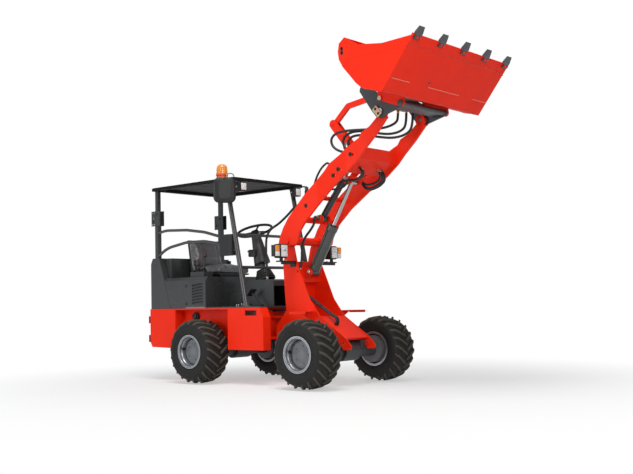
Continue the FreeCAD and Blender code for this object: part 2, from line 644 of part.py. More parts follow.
def front_chassis():
    """Tower plates, deck, nose beam, cross plates and the ears of the pivot."""
    pin_x, pin_z = front(BOOM_PIN[0]), BOOM_PIN[1]
    inside = TOWER_HALF - PLATE
    plate = side_prism(front_points(TOWER_OUTLINE), -TOWER_HALF, -inside)
    boss = cross_pin(pin_x, pin_z, 116, -ARM_INNER + SIDE_GAP, -inside)
    plate = join(plate, boss)
    tuck = inside + 1
    parts = [plate, mirror_y(plate)]
    deck = front_points([(FRONT_BULKHEAD, 640), (-165, 640), (120, 440), (128, 450), (-160, 652), (FRONT_BULKHEAD, 652)])
    parts.append(side_prism(deck, -tuck, tuck))
    nose = front_points([(58, 426), (76, 426), (76, 474), (58, 486)])
    parts.append(side_prism(nose, -tuck, tuck))
    wall = front(FRONT_BULKHEAD)
    parts.append(box(wall - PLATE, wall, -tuck, tuck, 405, 651))
    parts.append(box(wall, front(60), -tuck, tuck, BEAM_BOTTOM, BEAM_BOTTOM + PLATE))
    parts.append(box(front(-560), front(-548), -tuck, tuck, 700, 1000))
    parts.append(box(front(-470), front(-458), -tuck, tuck, 990, 1190))
    parts.append(cross_pin(pin_x, pin_z, 80, -tuck, tuck))
    for low in (FORK_LOW + FORK_THICK + SIDE_GAP, FORK_HIGH - SIDE_GAP - 30):
        outline = [(PIVOT_X, -FORK_RADIUS), (wall - 1, -150), (wall - 1, 150), (PIVOT_X, FORK_RADIUS)]
        ring = cylinder((PIVOT_X, 0, low), (PIVOT_X, 0, low + 30), FORK_RADIUS)
        parts.append(join(plan_prism(outline, low, low + 30), ring))
    foot_x, foot_z = front(LIFT_FOOT[0]), LIFT_FOOT[1]
    for side in (-1, 1):
        lug = front_points([(-460, 1145), (-400, 1130), (-355, 1100), (-360, 1060), (-400, 1040), (-460, 1040)])
        parts.append(side_prism(lug, *sorted((side * 62, side * 78))))
    parts.append(cross_pin(foot_x, foot_z, SMALL_PIN + 10, -82, 82))
    body = join(*parts)
    body = body.cut(cylinder((PIVOT_X, 0, 0), (PIVOT_X, 0, 2000), PIN_DIAMETER / 2 + CLEARANCE))
    body = body.cut(cross_pin(pin_x, pin_z, BOOM_PIN_DIAMETER, -300, 300))
    body = body.cut(side_prism(front_points([(-455, 1115), (-420, 1090), (-455, 1075)]), -300, -150))
    return body.cut(cross_pin(front(113), 402, 30, -300, 300))


def boom_pin():
    """Boom pivot pin, one length through both arms, with end plates."""
    x, z = front(BOOM_PIN[0]), BOOM_PIN[1]
    end = ARM_INNER + ARM_THICK + 4
    pin = cross_pin(x, z, BOOM_PIN_DIAMETER - 0.02, -end, end)
    heads = [cross_pin(x, z, 70, *sorted((side * end, side * (end + 8)))) for side in (-1, 1)]
    return join(pin, *heads)


def front_fenders():
    """Flat mudguard over each front tyre's inner half, with a gusset below."""
    back, inner_nose, nose = front(-320), front(-250), front(-115)
    outline = [(back, -FENDER_HALF), (nose, -FENDER_HALF), (inner_nose, -TOWER_HALF), (back, -TOWER_HALF)]
    ledge = plan_prism(outline, FENDER_Z - 6, FENDER_Z)
    lip = box(back, nose, -FENDER_HALF, -FENDER_HALF + 6, FENDER_Z - 24, FENDER_Z - 5)
    gusset = [(-TOWER_HALF, FENDER_Z - 5), (-FENDER_HALF + 80, FENDER_Z - 5), (-TOWER_HALF, FENDER_Z - 110)]
    corners = [V(inner_nose, y, z) for y, z in gusset]
    web = Part.Face(Part.makePolygon(corners + corners[:1])).extrude(V(-6, 0, 0))
    return both_sides(join(ledge, lip, web))


def headlights():
    parts = []
    for side in (-1, 1):
        x, y, z = front(-470), side * 373, 1290.0
        case = box(x - 62, x + 26, y - 54, y + 54, z - 68, z + 68)
        case = case.makeFillet(16, case.Edges)
        lamp = box(x - 30, x + 20, *sorted((y + side * 52, y + side * 115)), z - 55, z + 55)
        bar = box(x - 40, x + 10, *sorted((side * TOWER_HALF, y + side * 45)), z - 105, z - 94)
        stem = box(x - 20, x, y - 14, y + 14, z - 100, z - 60)
        foot = box(x - 62, x + 10, *sorted((side * TOWER_HALF, side * (TOWER_HALF + 8))), z - 150, z - 92)
        parts.append(join(case, lamp, bar, stem, foot))
    return Part.makeCompound(parts)


# ---- boom and linkage -----------------------------------------------------------
ARM_OUTLINE = [
    (-615, 1368), (-600, 1426), (-550, 1521), (-481, 1614), (-373, 1719), (-254, 1830), (-103, 1944), (0, 2018),
    (75, 2084), (221, 2151), (361, 2231), (455, 2275), (489, 2325), (579, 2364), (655, 2426), (725, 2484),
    (784, 2421), (661, 2292), (534, 2178), (449, 2090), (310, 1982), (104, 1854), (-109, 1697), (-261, 1563),
    (-340, 1468), (-369, 1364), (-400, 1345), (-600, 1345)]
ARM_HOLES = ((379, 2132), (220, 2012), (147, 1965), (-249, 1722))
CROSS_BOX = [(262, 1985), (415, 2100), (445, 2205), (345, 2195), (245, 2080), (225, 2010)]


def arm_strip():
    """Plan of the left arm, which runs straight, spreads outwards and runs straight again."""
    back, bend, spread, nose = front(-800), front(ARM_FLARE[0]), front(ARM_FLARE[1]), front(900)
    inner = [(back, ARM_INNER), (bend, ARM_INNER), (spread, ARM_TIP_INNER), (nose, ARM_TIP_INNER)]
    outer = [(x, y + ARM_THICK) for x, y in reversed(inner)]
    return plan_prism(inner + outer, 1200, 2700)


def boom():
    """Two plate arms joined by a welded box and two cross tubes, with linkage lugs."""
    pin_x, pin_z = front(BOOM_PIN[0]), BOOM_PIN[1]
    tip_x, tip_z = front(HITCH_PIN[0]), HITCH_PIN[1]
    outer = ARM_TIP_INNER + ARM_THICK
    tip = cross_pin(tip_x, tip_z, 104, ARM_TIP_INNER - 8, outer)
    arm = join(side_prism(front_points(ARM_OUTLINE), ARM_INNER - 1, outer + 1).common(arm_strip()), tip)
    arm = arm.cut(cross_pin(pin_x, pin_z, BOOM_PIN_DIAMETER + 2 * CLEARANCE, 100, 400))
    arm = arm.cut(cross_pin(tip_x, tip_z, HITCH_PIN_DIAMETER + 2 * CLEARANCE, 100, 400))
    tuck = ARM_INNER + 1
    parts = [arm, mirror_y(arm)]
    parts.append(cross_pin(front(-205), 1798, 44, -tuck, tuck))
    parts.append(cross_pin(front(-345), 1590, 60, -tuck, tuck))
    parts.append(side_prism(front_points(CROSS_BOX), -ARM_TIP_INNER - 1, ARM_TIP_INNER + 1))
    for side in (-1, 1):
        lever_lug = [(262, 2110), (345, 2194), (160, 2262), (140, 2316), (95, 2328), (58, 2300), (66, 2250), (150, 2130)]
        eye_lug = [(262, 1990), (245, 2080), (150, 1980), (115, 1980), (82, 1958), (80, 1918), (108, 1898), (155, 1905)]
        tilt_lug = [(-360, 1612), (-330, 1625), (-250, 1642), (-212, 1624), (-209, 1588), (-240, 1562), (-345, 1562)]
        for outline, inner in ((lever_lug, 46), (eye_lug, 62), (tilt_lug, 46)):
            parts.append(side_prism(front_points(outline), *sorted((side * inner, side * (inner + 12)))))
    body = join(*parts)
    for x, z in (LIFT_EYE, LEVER_PIN, TILT_FOOT):
        body = body.cut(cross_pin(front(x), z, SMALL_PIN, -90, 90))
    for x, z in ARM_HOLES:
        body = body.cut(cross_pin(front(x), z, 26, -400, -100))
    return body


def linkage_pins():
    """Cross pins of the boom's brackets; the lift rod's own pin fills the gap between its stubs."""
    pins = [cross_pin(front(x), z, SMALL_PIN - 0.02, -64, 64) for x, z in (LEVER_PIN, TILT_FOOT)]
    stub = cross_pin(front(LIFT_EYE[0]), LIFT_EYE[1], SMALL_PIN - 0.02, LIFT_EYE_HALF + 1, 80)
    return Part.makeCompound(pins + [stub, mirror_y(stub)])


def eye(point, y_half, pin):
    hoop = cross_pin(front(point[0]), point[1], pin + 28, -y_half, y_half)
    return hoop


def cylinder_barrel(foot, head, bore, length, y_half, pin):
    """Barrel with an eye on its foot pin and a gland at the open end."""
    start, end = along(foot, head, 28), along(foot, head, length)
    gland = along(foot, head, length - 46)
    a, b, g = (front(start[0]), 0, start[1]), (front(end[0]), 0, end[1]), (front(gland[0]), 0, gland[1])
    body = join(cylinder(a, b, bore / 2), cylinder(g, b, bore / 2 + 5), eye(foot, y_half, pin))
    return body.cut(cross_pin(front(foot[0]), foot[1], pin + 2 * CLEARANCE, -200, 200))


def hollow(barrel, foot, head, length, rod):
    start, end = along(foot, head, 42), along(foot, head, length + 5)
    bore = cylinder((front(start[0]), 0, start[1]), (front(end[0]), 0, end[1]), rod / 2 + CLEARANCE)
    return barrel.cut(bore)


def cylinder_rod(foot, head, rod, inside, y_half, pin):
    start = along(foot, head, inside)
    stub = along(head, foot, 20)
    bar = cylinder((front(start[0]), 0, start[1]), (front(stub[0]), 0, stub[1]), rod / 2)
    reach = y_half + CLEARANCE
    return join(bar, eye(head, y_half - 3, pin), cross_pin(front(head[0]), head[1], pin, -reach, reach))


LIFT_BARREL = 512.0
LIFT_EYE_HALF = 56.0
TILT_BARREL = 455.0


def lift_barrel():
    barrel = cylinder_barrel(LIFT_FOOT, LIFT_EYE, LIFT_BORE, LIFT_BARREL, 54, SMALL_PIN + 10)
    return hollow(barrel, LIFT_FOOT, LIFT_EYE, LIFT_BARREL, LIFT_ROD)


def lift_rod():
    return cylinder_rod(LIFT_FOOT, LIFT_EYE, LIFT_ROD, LIFT_BARREL - 30, LIFT_EYE_HALF, SMALL_PIN)


def tilt_barrel():
    barrel = cylinder_barrel(TILT_FOOT, LEVER_FOOT, TILT_BORE, TILT_BARREL, 40, SMALL_PIN)
    return hollow(barrel, TILT_FOOT, LEVER_FOOT, TILT_BARREL, TILT_ROD)


def tilt_rod():
    return cylinder_rod(TILT_FOOT, LEVER_FOOT, TILT_ROD, TILT_BARREL - 155, 21, SMALL_PIN - 5)


def lever():
    """Bell crank: two plates on the boom's lever pin, spaced by a hub."""
    top, pivot, foot = front_points([LEVER_TOP, LEVER_PIN, LEVER_FOOT])
    plates = []
    for y in (-34, 22):
        plates.append(join(strap(top, pivot, 84, y, y + 12), strap(pivot, foot, 72, y, y + 12)))
    hub = cross_pin(*pivot, 66, -34, 34)
    pins = [cross_pin(*top, SMALL_PIN - 5, -38, 38)]
    pins += [cross_pin(*foot, SMALL_PIN + 5, *sorted((side * 33, side * 40))) for side in (-1, 1)]
    body = join(*plates, hub, *pins)
    return body.cut(cross_pin(*pivot, SMALL_PIN + 2 * CLEARANCE, -60, 60))


def link():
    """Bent link from the lever's top pin to the hitch."""
    points = front_points([LEVER_TOP, (91.0, 2666.0), (294.0, 2692.0), LINK_END])
    parts = [strap(a, b, 52, -14, 14) for a, b in zip(points, points[1:])]
    parts.append(cross_pin(*points[0], 66, -18, 18))
    parts.append(cross_pin(*points[-1], 66, -18, 18))
    body = join(*parts)
    for x, z in (points[0], points[-1]):
        body = body.cut(cross_pin(x, z, SMALL_PIN - 5 + 2 * CLEARANCE, -40, 40))
    return body


# ---- hitch and bucket -----------------------------------------------------------
HOOK = (968.0, 2515.0)
HOOK_DIAMETER = 48.0
LOCK = (745.0, 2590.0)
LOCK_DIAMETER = 30.0
HITCH_OUTLINE = [
    (500, 2690), (508, 2724), (536, 2742), (582, 2728), (735, 2630), (775, 2585), (990, 2540),
    (1000, 2510), (985, 2488), (790, 2440), (765, 2422), (728, 2415), (685, 2432), (630, 2500)]
HITCH_TUBE = (622.0, 2652.0)
HOSE_BLOCK = (572.0, 722.0, 95.0, 240.0, 2570.0)   # x and y limits and underside of the valve block


def hitch_frame():
    """Quick coupler: two side plates, an upper and a lower cross tube, link lugs."""
    inner = HITCH_HALF - HITCH_PLATE
    plate = side_prism(front_points(HITCH_OUTLINE), -HITCH_HALF, -inner)
    parts = [plate, mirror_y(plate)]
    parts.append(cross_pin(front(HITCH_TUBE[0]), HITCH_TUBE[1], 50, -inner - 1, inner + 1))
    parts.append(cross_pin(front(HOOK[0]), HOOK[1], HOOK_DIAMETER, -HITCH_HALF - 20, HITCH_HALF + 20))
    for side in (-1, 1):
        lock = sorted((side * (inner - 6), side * (HITCH_HALF + 24)))
        parts.append(cross_pin(front(LOCK[0]), LOCK[1], LOCK_DIAMETER, *lock))
    parts.append(side_prism(front_points([(852, 2488.4), (950, 2500), (948, 2512), (850, 2500.4)]), -inner - 1, inner + 1))
    for side in (-1, 1):
        cheek = front_points([(535, 2736), (575, 2730), (648, 2660), (630, 2628), (590, 2640), (520, 2675), (512, 2706)])
        parts.append(side_prism(cheek, *sorted((side * 24, side * 38))))
    parts.append(cross_pin(*front_points([LINK_END])[0], SMALL_PIN - 5, -42, 42))
    x0, x1, y0, y1, low = HOSE_BLOCK
    parts.append(box(front(x0), front(x1), y0, y1, low, HITCH_TUBE[1] - 12))
    body = join(*parts)
    return body.cut(cross_pin(front(HITCH_PIN[0]), HITCH_PIN[1], HITCH_PIN_DIAMETER - 0.01, -400, 400))


def hitch_pins():
    x, z = front(HITCH_PIN[0]), HITCH_PIN[1]
    pin = cross_pin(x, z, HITCH_PIN_DIAMETER - 0.02, -HITCH_HALF - 6, -ARM_TIP_INNER + 10)
    head = cross_pin(x, z, 60, -HITCH_HALF - 14, -HITCH_HALF)
    return both_sides(join(pin, head))


BUCKET_OUTLINE = [
    (680, 3074), (621, 3030), (607, 2960), (617, 2890), (660, 2815), (733, 2732), (795, 2660),
    (856, 2606), (920, 2580), (993, 2563), (1072, 2536), (1412, 2961)]


def bucket():
    """Welded bucket: bent back and floor sheet, two side plates and hooks."""
    outline = front_points(BUCKET_OUTLINE)
    half = BUCKET_WIDTH / 2
    inner = inset_outline(outline, BUCKET_PLATE)
    shell = side_prism(outline, -half, half).cut(side_prism(inner, -half + 14, half - 14))
    mouth = front_points([(680, 3075), (826, 2984), (1085, 2945), (1404, 2955), (1440, 3200), (640, 3200)])
    shell = shell.cut(side_prism(mouth, -half - 5, half + 5))
    near, far = EDGE_PLATE
    parts = [shell, side_prism([floor_point(*p) for p in ((near, -16), (far, -16), (far, 0), (near, 0))], -half, half)]
    for side in (-1, 1):
        y = sorted((side * (HITCH_HALF + 0.3), side * (HITCH_HALF + 16)))
        ear = front_points([(722, 2745), (716, 2600), (760, 2562), (930, 2496), (985, 2484), (1006, 2510),
                            (1000, 2556), (930, 2578), (856, 2612), (800, 2664)])
        parts.append(side_prism(ear, *y))
    body = join(*parts)
    body = body.cut(cross_pin(front(HOOK[0]), HOOK[1], HOOK_DIAMETER + 2 * CLEARANCE, -400, 400))
    return body.cut(cross_pin(front(LOCK[0]), LOCK[1], LOCK_DIAMETER + 2 * CLEARANCE, -400, 400))


def floor_point(reach, depth):
    """Point on the bucket floor: reach ahead of the heel, depth below the outer face."""
    (hx, hz), (lx, lz) = BUCKET_OUTLINE[-2:]
    length = math.hypot(lx - hx, lz - hz)
    ux, uz = (lx - hx) / length, (lz - hz) / length
    return (front(hx + ux * reach + uz * depth), hz + uz * reach - ux * depth)


def inset_outline(points, wall):
    """Offset an open bucket section inwards, leaving the mouth line open."""
    wire = Part.makePolygon([V(x, 0, z) for x, z in points + points[:1]])
    shrunk = Part.Face(wire).makeOffset2D(-wall, 2)
    return [(v.X, v.Z) for v in shrunk.OuterWire.OrderedVertexes]


def bucket_teeth():
    """Bolted teeth standing ahead of the cutting edge."""
    teeth = []
    reach = BUCKET_WIDTH / 2 - 60
    for i in range(TEETH):
        y = -reach + 2 * reach * i / (TEETH - 1)
        lip = EDGE_PLATE[1] + 0.2
        outline = [floor_point(*p) for p in (
            (lip - 46, 0.2), (lip, 0.2), (lip, -16), (lip + 14, -16), (lip + 74, -3), (lip + 74, 2),
            (lip + 19, 16), (lip - 38, 16))]
        teeth.append(side_prism(outline, y - 38, y + 38))
    return Part.makeCompound(teeth)


# ---- hydraulic hoses ------------------------------------------------------------
HOSE = 20.0
SEAT = 0.3                     # gap between a hose end and the face it is screwed to
CROSS_BACK = (-0.755, 0.656)   # outward normals of the cross box, back and front faces
CROSS_FRONT = (0.601, -0.799)


def hoses(routes, diameter=HOSE):
    """Tubes along routes given ahead of the front axle."""
    tubes = [bent_tube([(front(x), y, z) for x, y, z in route], diameter) for route in routes]
    return Part.makeCompound(tubes)


def port(x, z, y, normal, length):
    """First two points of a hose that leaves a face of the cross box squarely."""
    return [(x + normal[0] * reach, y, z + normal[1] * reach) for reach in (SEAT, length)]


def coupler_hoses():
    """Three lines from the cross box, looped behind the lever pin and on to the coupler's block."""
    low = HOSE_BLOCK[4] - SEAT
    wide = port(300, 2143.3, -139, CROSS_BACK, 50) + [
        (120, -139, 2200), (10, -139, 2255), (-25, -139, 2335), (30, -135, 2398), (150, -125, 2420),
        (300, -98, 2424), (430, -62, 2420), (520, 28, 2424), (584, 108, 2460), (592, 120, 2515), (592, 120, low)]
    middle = port(300, 2143.3, -112, CROSS_BACK, 50) + [
        (165, -112, 2215), (105, -112, 2280), (118, -112, 2350), (200, -105, 2388), (320, -75, 2388),
        (420, 0, 2362), (520, 80, 2345), (610, 140, 2370), (655, 165, 2430), (655, 165, low)]
    tight = port(300, 2143.3, -85, CROSS_BACK, 45) + [
        (190, -85, 2215), (142, -85, 2275), (158, -85, 2330), (225, -78, 2356), (330, -45, 2350),
        (430, 30, 2326), (530, 115, 2312), (630, 182, 2338), (698, 208, 2405), (698, 208, low)]
    return hoses([wide, middle, tight])


def boom_hoses():
    """Lines clipped to the boom: a loop over the right arm and the runs below the cross box."""
    side = -(ARM_INNER - HOSE / 2 - SEAT)
    over = [(x, side, z) for x, z in (
        (-190, 1842), (-165, 1905), (-125, 1995), (-62, 2070), (8, 2108), (48, 2076), (72, 2020), (90, 1960))]
    left = port(330, 2036.1, 185, CROSS_FRONT, 55) + [
        (374, 184, 1930), (325, 160, 1880), (250, 128, 1850), (185, 118, 1866), (150, 112, 1915),
        (150, 104, 1945), (150, 74.3, 1945)]
    right = port(330, 2036.1, -150, CROSS_FRONT, 50) + [
        (352, -154, 1940), (285, -168, 1912), (200, -188, 1920), (100, -208, 1905), (0, -224, 1850),
        (-100, side, 1762), (-190, side, 1725), (-270, side, 1682), (-345, side, 1648), (-412, side, 1592),
        (-448, side, 1510)]
    under = [(150, -74.3, 1945), (150, -100, 1945), (132, -112, 1890), (60, -122, 1856), (-30, -150, 1862),
             (-95, -195, 1848), (-110, -212, 1838), (-110, -239.7, 1838)]
    return hoses([over, left, right, under])


def lift_hoses():
    """Lines from the tower to the boom, which bend as the boom lifts."""
    over = [(-640, -130, 1640), (-560, -163, 1668.1), (-480, -195, 1705), (-410, -215, 1735), (-330, -226, 1722),
            (-262, -226, 1752)]
    tilt = [(-457.7, -150, 1126), (-428, -150, 1126), (-415, -150, 1210), (-412, -146, 1330), (-385, -136, 1420),
            (-320, -120, 1490), (-268, -114, 1560), (-290, -98, 1620), (-290, -58.3, 1620)]
    return hoses([over, tilt])


def steering_hoses():
    """Lines across the articulation, which bend as the machine steers."""
    column = [(-950, -84, CONSOLE_TOP + SEAT), (-950, -84, 1120), (-962, -84, 1250), (-962, -84, 1380),
              (-954, -82, 1465), (-912, -70, 1540), (-820, -60, 1580), (-725, -95, 1610), (-640.2, -130, 1639.8)]
    back, plate = PIVOT_X - BULKHEAD_BACK + SEAT - FRONT_AXLE_X, -560 - SEAT
    low = [[(back, y, 714), (back + 45, y, 714), (-730, y * 1.12, 720), (plate - 45, y, 726),
            (plate, y, 726)] for y in (-90, 90)]
    return hoses([column] + low)


def tower_hoses():
    """Drive motor lines from the tower's cross plate down to the deck."""
    return hoses([[(-547.7, y, 905), (-500, y, 905), (-376, y, 842), (-240, y, 756), (-110, y, 676),
                   (-40, y, 644), (-22.9, y, 605), (-45.8, y, 572.3)] for y in (-104, -74)])


NODES = {
    "rear_chassis": rear_chassis, "articulation_pin": articulation_pin, "side_boxes": side_boxes,
    "counterweight": counterweight, "tow_pin": tow_pin, "bumpers": bumpers, "engine_block": engine_block,
    "rear_axle": lambda: axle(REAR_AXLE_X), "rear_hood": rear_hood, "engine_cover": engine_cover,
    "seat_back_box": seat_back_box, "floor_plate": floor_plate, "front_console": front_console,
    "pedals": pedals, "steering_column": steering_column, "steering_wheel": steering_wheel,
    "seat_base": seat_base, "seat_cushion": seat_cushion, "seat_backrest": seat_backrest,
    "joystick_console": joystick_console, "rear_posts": rear_posts, "front_posts": front_posts,
    "canopy_roof": canopy_roof, "guard_rails": guard_rails, "document_box": document_box,
    "mirrors": mirrors, "beacon": beacon, "work_lights": work_lights,
    "front_chassis": front_chassis, "boom_pin": boom_pin, "front_fenders": front_fenders,
    "front_axle": lambda: axle(FRONT_AXLE_X), "headlights": headlights,
    "boom": boom, "linkage_pins": linkage_pins, "lift_barrel": lift_barrel, "lift_rod": lift_rod,
    "tilt_barrel": tilt_barrel, "tilt_rod": tilt_rod, "lever": lever, "link": link,
    "hitch_frame": hitch_frame, "hitch_pins": hitch_pins, "bucket": bucket, "bucket_teeth": bucket_teeth,
    "steering_hoses": steering_hoses, "tower_hoses": tower_hoses, "lift_hoses": lift_hoses,
    "boom_hoses": boom_hoses, "coupler_hoses": coupler_hoses,
}
for end, x in (("front", FRONT_AXLE_X), ("rear", REAR_AXLE_X)):
    for name, side in (("left", 1), ("right", -1)):
        NODES[f"{end}_{name}_tyre"] = lambda x=x, side=side: tyre(x, side)
        NODES[f"{end}_{name}_rim"] = lambda x=x, side=side: rim(x, side)

os.makedirs("parts", exist_ok=True)
for node, make in NODES.items():
    make().exportStep(f"parts/{node}.step")
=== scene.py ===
import bpy
import math
import json
from mathutils import Matrix, Vector


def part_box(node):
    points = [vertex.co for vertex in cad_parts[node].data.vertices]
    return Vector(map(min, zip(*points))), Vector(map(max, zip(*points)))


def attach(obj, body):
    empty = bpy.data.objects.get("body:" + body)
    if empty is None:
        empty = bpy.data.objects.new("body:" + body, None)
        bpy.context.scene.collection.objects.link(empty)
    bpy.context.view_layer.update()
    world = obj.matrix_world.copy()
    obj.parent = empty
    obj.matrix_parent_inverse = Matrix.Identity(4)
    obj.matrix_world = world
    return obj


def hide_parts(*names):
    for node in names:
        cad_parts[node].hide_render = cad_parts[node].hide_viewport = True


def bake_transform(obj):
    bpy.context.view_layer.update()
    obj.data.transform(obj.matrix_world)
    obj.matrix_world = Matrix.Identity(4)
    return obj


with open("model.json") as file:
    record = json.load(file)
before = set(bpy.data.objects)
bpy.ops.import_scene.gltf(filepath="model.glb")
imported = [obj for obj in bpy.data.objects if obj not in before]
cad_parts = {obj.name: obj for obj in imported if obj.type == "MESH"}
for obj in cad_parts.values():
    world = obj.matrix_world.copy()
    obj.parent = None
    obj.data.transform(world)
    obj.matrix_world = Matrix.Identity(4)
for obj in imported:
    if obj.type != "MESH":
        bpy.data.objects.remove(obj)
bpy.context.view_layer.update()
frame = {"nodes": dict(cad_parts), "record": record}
joint_at = {joint["name"]: Vector(joint["pos_m"]) for joint in frame["record"]["behaviour"]["joints"]
            if "pos_m" in joint}
axle_front = joint_at["front_left_wheel_spin"].x
axle_rear = joint_at["rear_left_wheel_spin"].x
SIDES = ((-1, "right"), (1, "left"))

# ---- Red frame: chassis, side boxes, counterweight ------------------------------
# The load-bearing weldments of both half frames, cut from steel plate and sprayed
# orange-red in one coat. The film has a fine orange peel.


def coat(name, colour, roughness=0.35, mottle=(2.5, 0.12), grain=(260.0, 0.03), metallic=0.0, spread=0.1,
         clear=0.0, shine=0.5):
    """Surface with a cloudy shade, uneven gloss and a fine grain, all fixed to the piece."""
    made = bpy.data.materials.new(name)
    made.use_nodes = True
    nodes, links = made.node_tree.nodes, made.node_tree.links
    shader = nodes["Principled BSDF"]
    shader.inputs["Metallic"].default_value = metallic
    shader.inputs["Coat Weight"].default_value = clear
    shader.inputs["Specular IOR Level"].default_value = shine
    shader.inputs["Coat Roughness"].default_value = 0.12
    place = nodes.new("ShaderNodeTexCoord")

    def noise(scale, detail):
        texture = nodes.new("ShaderNodeTexNoise")
        texture.inputs["Scale"].default_value = scale
        texture.inputs["Detail"].default_value = detail
        links.new(place.outputs["Object"], texture.inputs["Vector"])
        return texture.outputs["Fac"]

    tint = nodes.new("ShaderNodeMix")
    tint.data_type = "RGBA"
    tint.inputs["A"].default_value = [c * (1 - mottle[1]) for c in colour] + [1]
    tint.inputs["B"].default_value = [min(1, c * (1 + mottle[1]) + 0.012 * mottle[1]) for c in colour] + [1]
    links.new(noise(mottle[0], 6.0), tint.inputs["Factor"])
    links.new(tint.outputs["Result"], shader.inputs["Base Color"])
    gloss = nodes.new("ShaderNodeMapRange")
    gloss.inputs["To Min"].default_value = max(0.02, roughness - spread)
    gloss.inputs["To Max"].default_value = min(1.0, roughness + spread)
    links.new(noise(mottle[0] * 5, 4.0), gloss.inputs["Value"])
    links.new(gloss.outputs["Result"], shader.inputs["Roughness"])
    bump = nodes.new("ShaderNodeBump")
    bump.inputs["Strength"].default_value = grain[1]
    bump.inputs["Distance"].default_value = 0.002
    links.new(noise(grain[0], 2.0), bump.inputs["Height"])
    links.new(bump.outputs["Normal"], shader.inputs["Normal"])
    return made


def finish_nodes(material, *nodes):
    """Gives CAD nodes this finish in place of the plain one they come with."""
    for node in nodes:
        piece = frame["nodes"][node]
        for slot in piece.material_slots:
            slot.material = material
        if not piece.material_slots:
            piece.data.materials.append(material)


def deselect():
    bpy.ops.object.select_all(action="DESELECT")


def pick(piece):
    """Makes a piece the active and only selected one."""
    deselect()
    piece.select_set(True)
    bpy.context.view_layer.objects.active = piece


def bake():
    """Puts the active piece's place, turn and scale into its mesh."""
    bpy.ops.object.transform_apply(location=True, rotation=True, scale=True)


def choose(piece, kind, test):
    """Selects the vertices, edges or faces that pass and stays in edit mode."""
    bpy.ops.object.mode_set(mode="EDIT")
    bpy.ops.mesh.select_mode(type=kind)
    bpy.ops.mesh.select_all(action="DESELECT")
    bpy.ops.object.mode_set(mode="OBJECT")
    mesh = piece.data
    for part in {"VERT": mesh.vertices, "EDGE": mesh.edges, "FACE": mesh.polygons}[kind]:
        part.select = test(part)
    bpy.ops.object.mode_set(mode="EDIT")


def push(x, y, z):
    """Extrudes what is selected by this much."""
    bpy.ops.mesh.extrude_region_move(TRANSFORM_OT_translate={"value": (x, y, z)})


def torus(place, major, minor, rings, sides, turn=(0, 0, 0)):
    """Smooth torus that lies flat unless it is turned."""
    deselect()
    bpy.ops.mesh.primitive_torus_add(major_radius=major, minor_radius=minor, major_segments=rings,
                                     minor_segments=sides, location=place, rotation=turn)
    bpy.ops.object.shade_smooth()
    return bpy.context.object


def spun(points, centre, axis, steps, angle):
    """Turns a profile, given as offsets from the centre, about an axis through it."""
    deselect()
    bpy.ops.mesh.primitive_plane_add(size=0.01, location=centre + Vector(points[0]))
    bake()
    piece = bpy.context.object
    bpy.ops.object.mode_set(mode="EDIT")
    bpy.ops.mesh.select_mode(type="VERT")
    bpy.ops.mesh.select_all(action="SELECT")
    bpy.ops.mesh.merge(type="CENTER")
    for start, end in zip(points, points[1:]):
        push(*(q - p for p, q in zip(start, end)))
    bpy.ops.mesh.select_all(action="SELECT")
    bpy.ops.mesh.spin(steps=steps, angle=math.tau, center=centre, axis=axis)
    bpy.ops.mesh.select_all(action="SELECT")
    bpy.ops.mesh.remove_doubles(threshold=0.0001)
    bpy.ops.mesh.normals_make_consistent(inside=False)
    bpy.ops.object.mode_set(mode="OBJECT")
    bpy.ops.object.shade_smooth_by_angle(angle=math.radians(angle))
    return piece


def stamp(source, change):
    """Copy of a piece with its mesh moved by a matrix."""
    copy = source.copy()
    copy.data = source.data.copy()
    copy.data.transform(change)
    bpy.context.collection.objects.link(copy)
    return copy


def circle(x, y, z, radius, steps):
    """Closed run of points round a tube across the machine; x is from the front axle."""
    turns = [step * math.tau / steps for step in range(steps + 1)]
    return [(axle_front + x + radius * math.cos(t), y, z + radius * math.sin(t)) for t in turns]


def settle(piece, name, material, body):
    """Puts a finished piece's place into its mesh, paints it and lets it move with its body."""
    pick(piece)
    bake()
    piece.name = name
    piece.data.name = name
    piece.data.materials.clear()
    piece.data.materials.append(material)
    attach(piece, body)
    return piece


def soften(piece, width, segments=2, angle=30):
    """Rounded edges and smooth shading, as on a pressed or machined part."""
    pick(piece)
    if width:
        bevel = piece.modifiers.new("edge", "BEVEL")
        bevel.width = width
        bevel.segments = segments
        bevel.limit_method = "ANGLE"
        bevel.angle_limit = math.radians(angle)
        bpy.ops.object.modifier_apply(modifier="edge")
    bpy.ops.object.shade_smooth_by_angle(angle=math.radians(35))
    return piece


def join(pieces):
    deselect()
    for piece in pieces:
        piece.select_set(True)
    bpy.context.view_layer.objects.active = pieces[0]
    if len(pieces) > 1:
        bpy.ops.object.join()
    return bpy.context.view_layer.objects.active


def block(low, high, edge=0.002):
    """Rectangular piece between two corners, with rounded edges."""
    low, high = Vector(low), Vector(high)
    deselect()
    bpy.ops.mesh.primitive_cube_add(size=1, location=(low + high) / 2, scale=high - low)
    bake()
    return soften(bpy.context.object, edge)


def bar(start, end, radius, sides=32, edge=0.0, top=None):
    """Round or many-sided bar between two points; top gives a taper."""
    start, end = Vector(start), Vector(end)
    deselect()
    turn = (end - start).to_track_quat("Z", "Y").to_euler()
    bpy.ops.mesh.primitive_cone_add(vertices=sides, radius1=radius, radius2=radius if top is None else top,
                                    depth=(end - start).length, location=(start + end) / 2, rotation=turn)
    bake()
    return soften(bpy.context.object, edge)


def hex_bolt(place, axis, size):
    """Hexagon head on a washer; axis points away from the plate."""
    axis = Vector(axis).normalized()
    place = Vector(place)
    washer = bar(place, place + axis * size * 0.16, size * 0.62, 20)
    head = bar(place + axis * size * 0.16, place + axis * size * 0.66, size * 0.5, 6, size * 0.05)
    return join([washer, head])


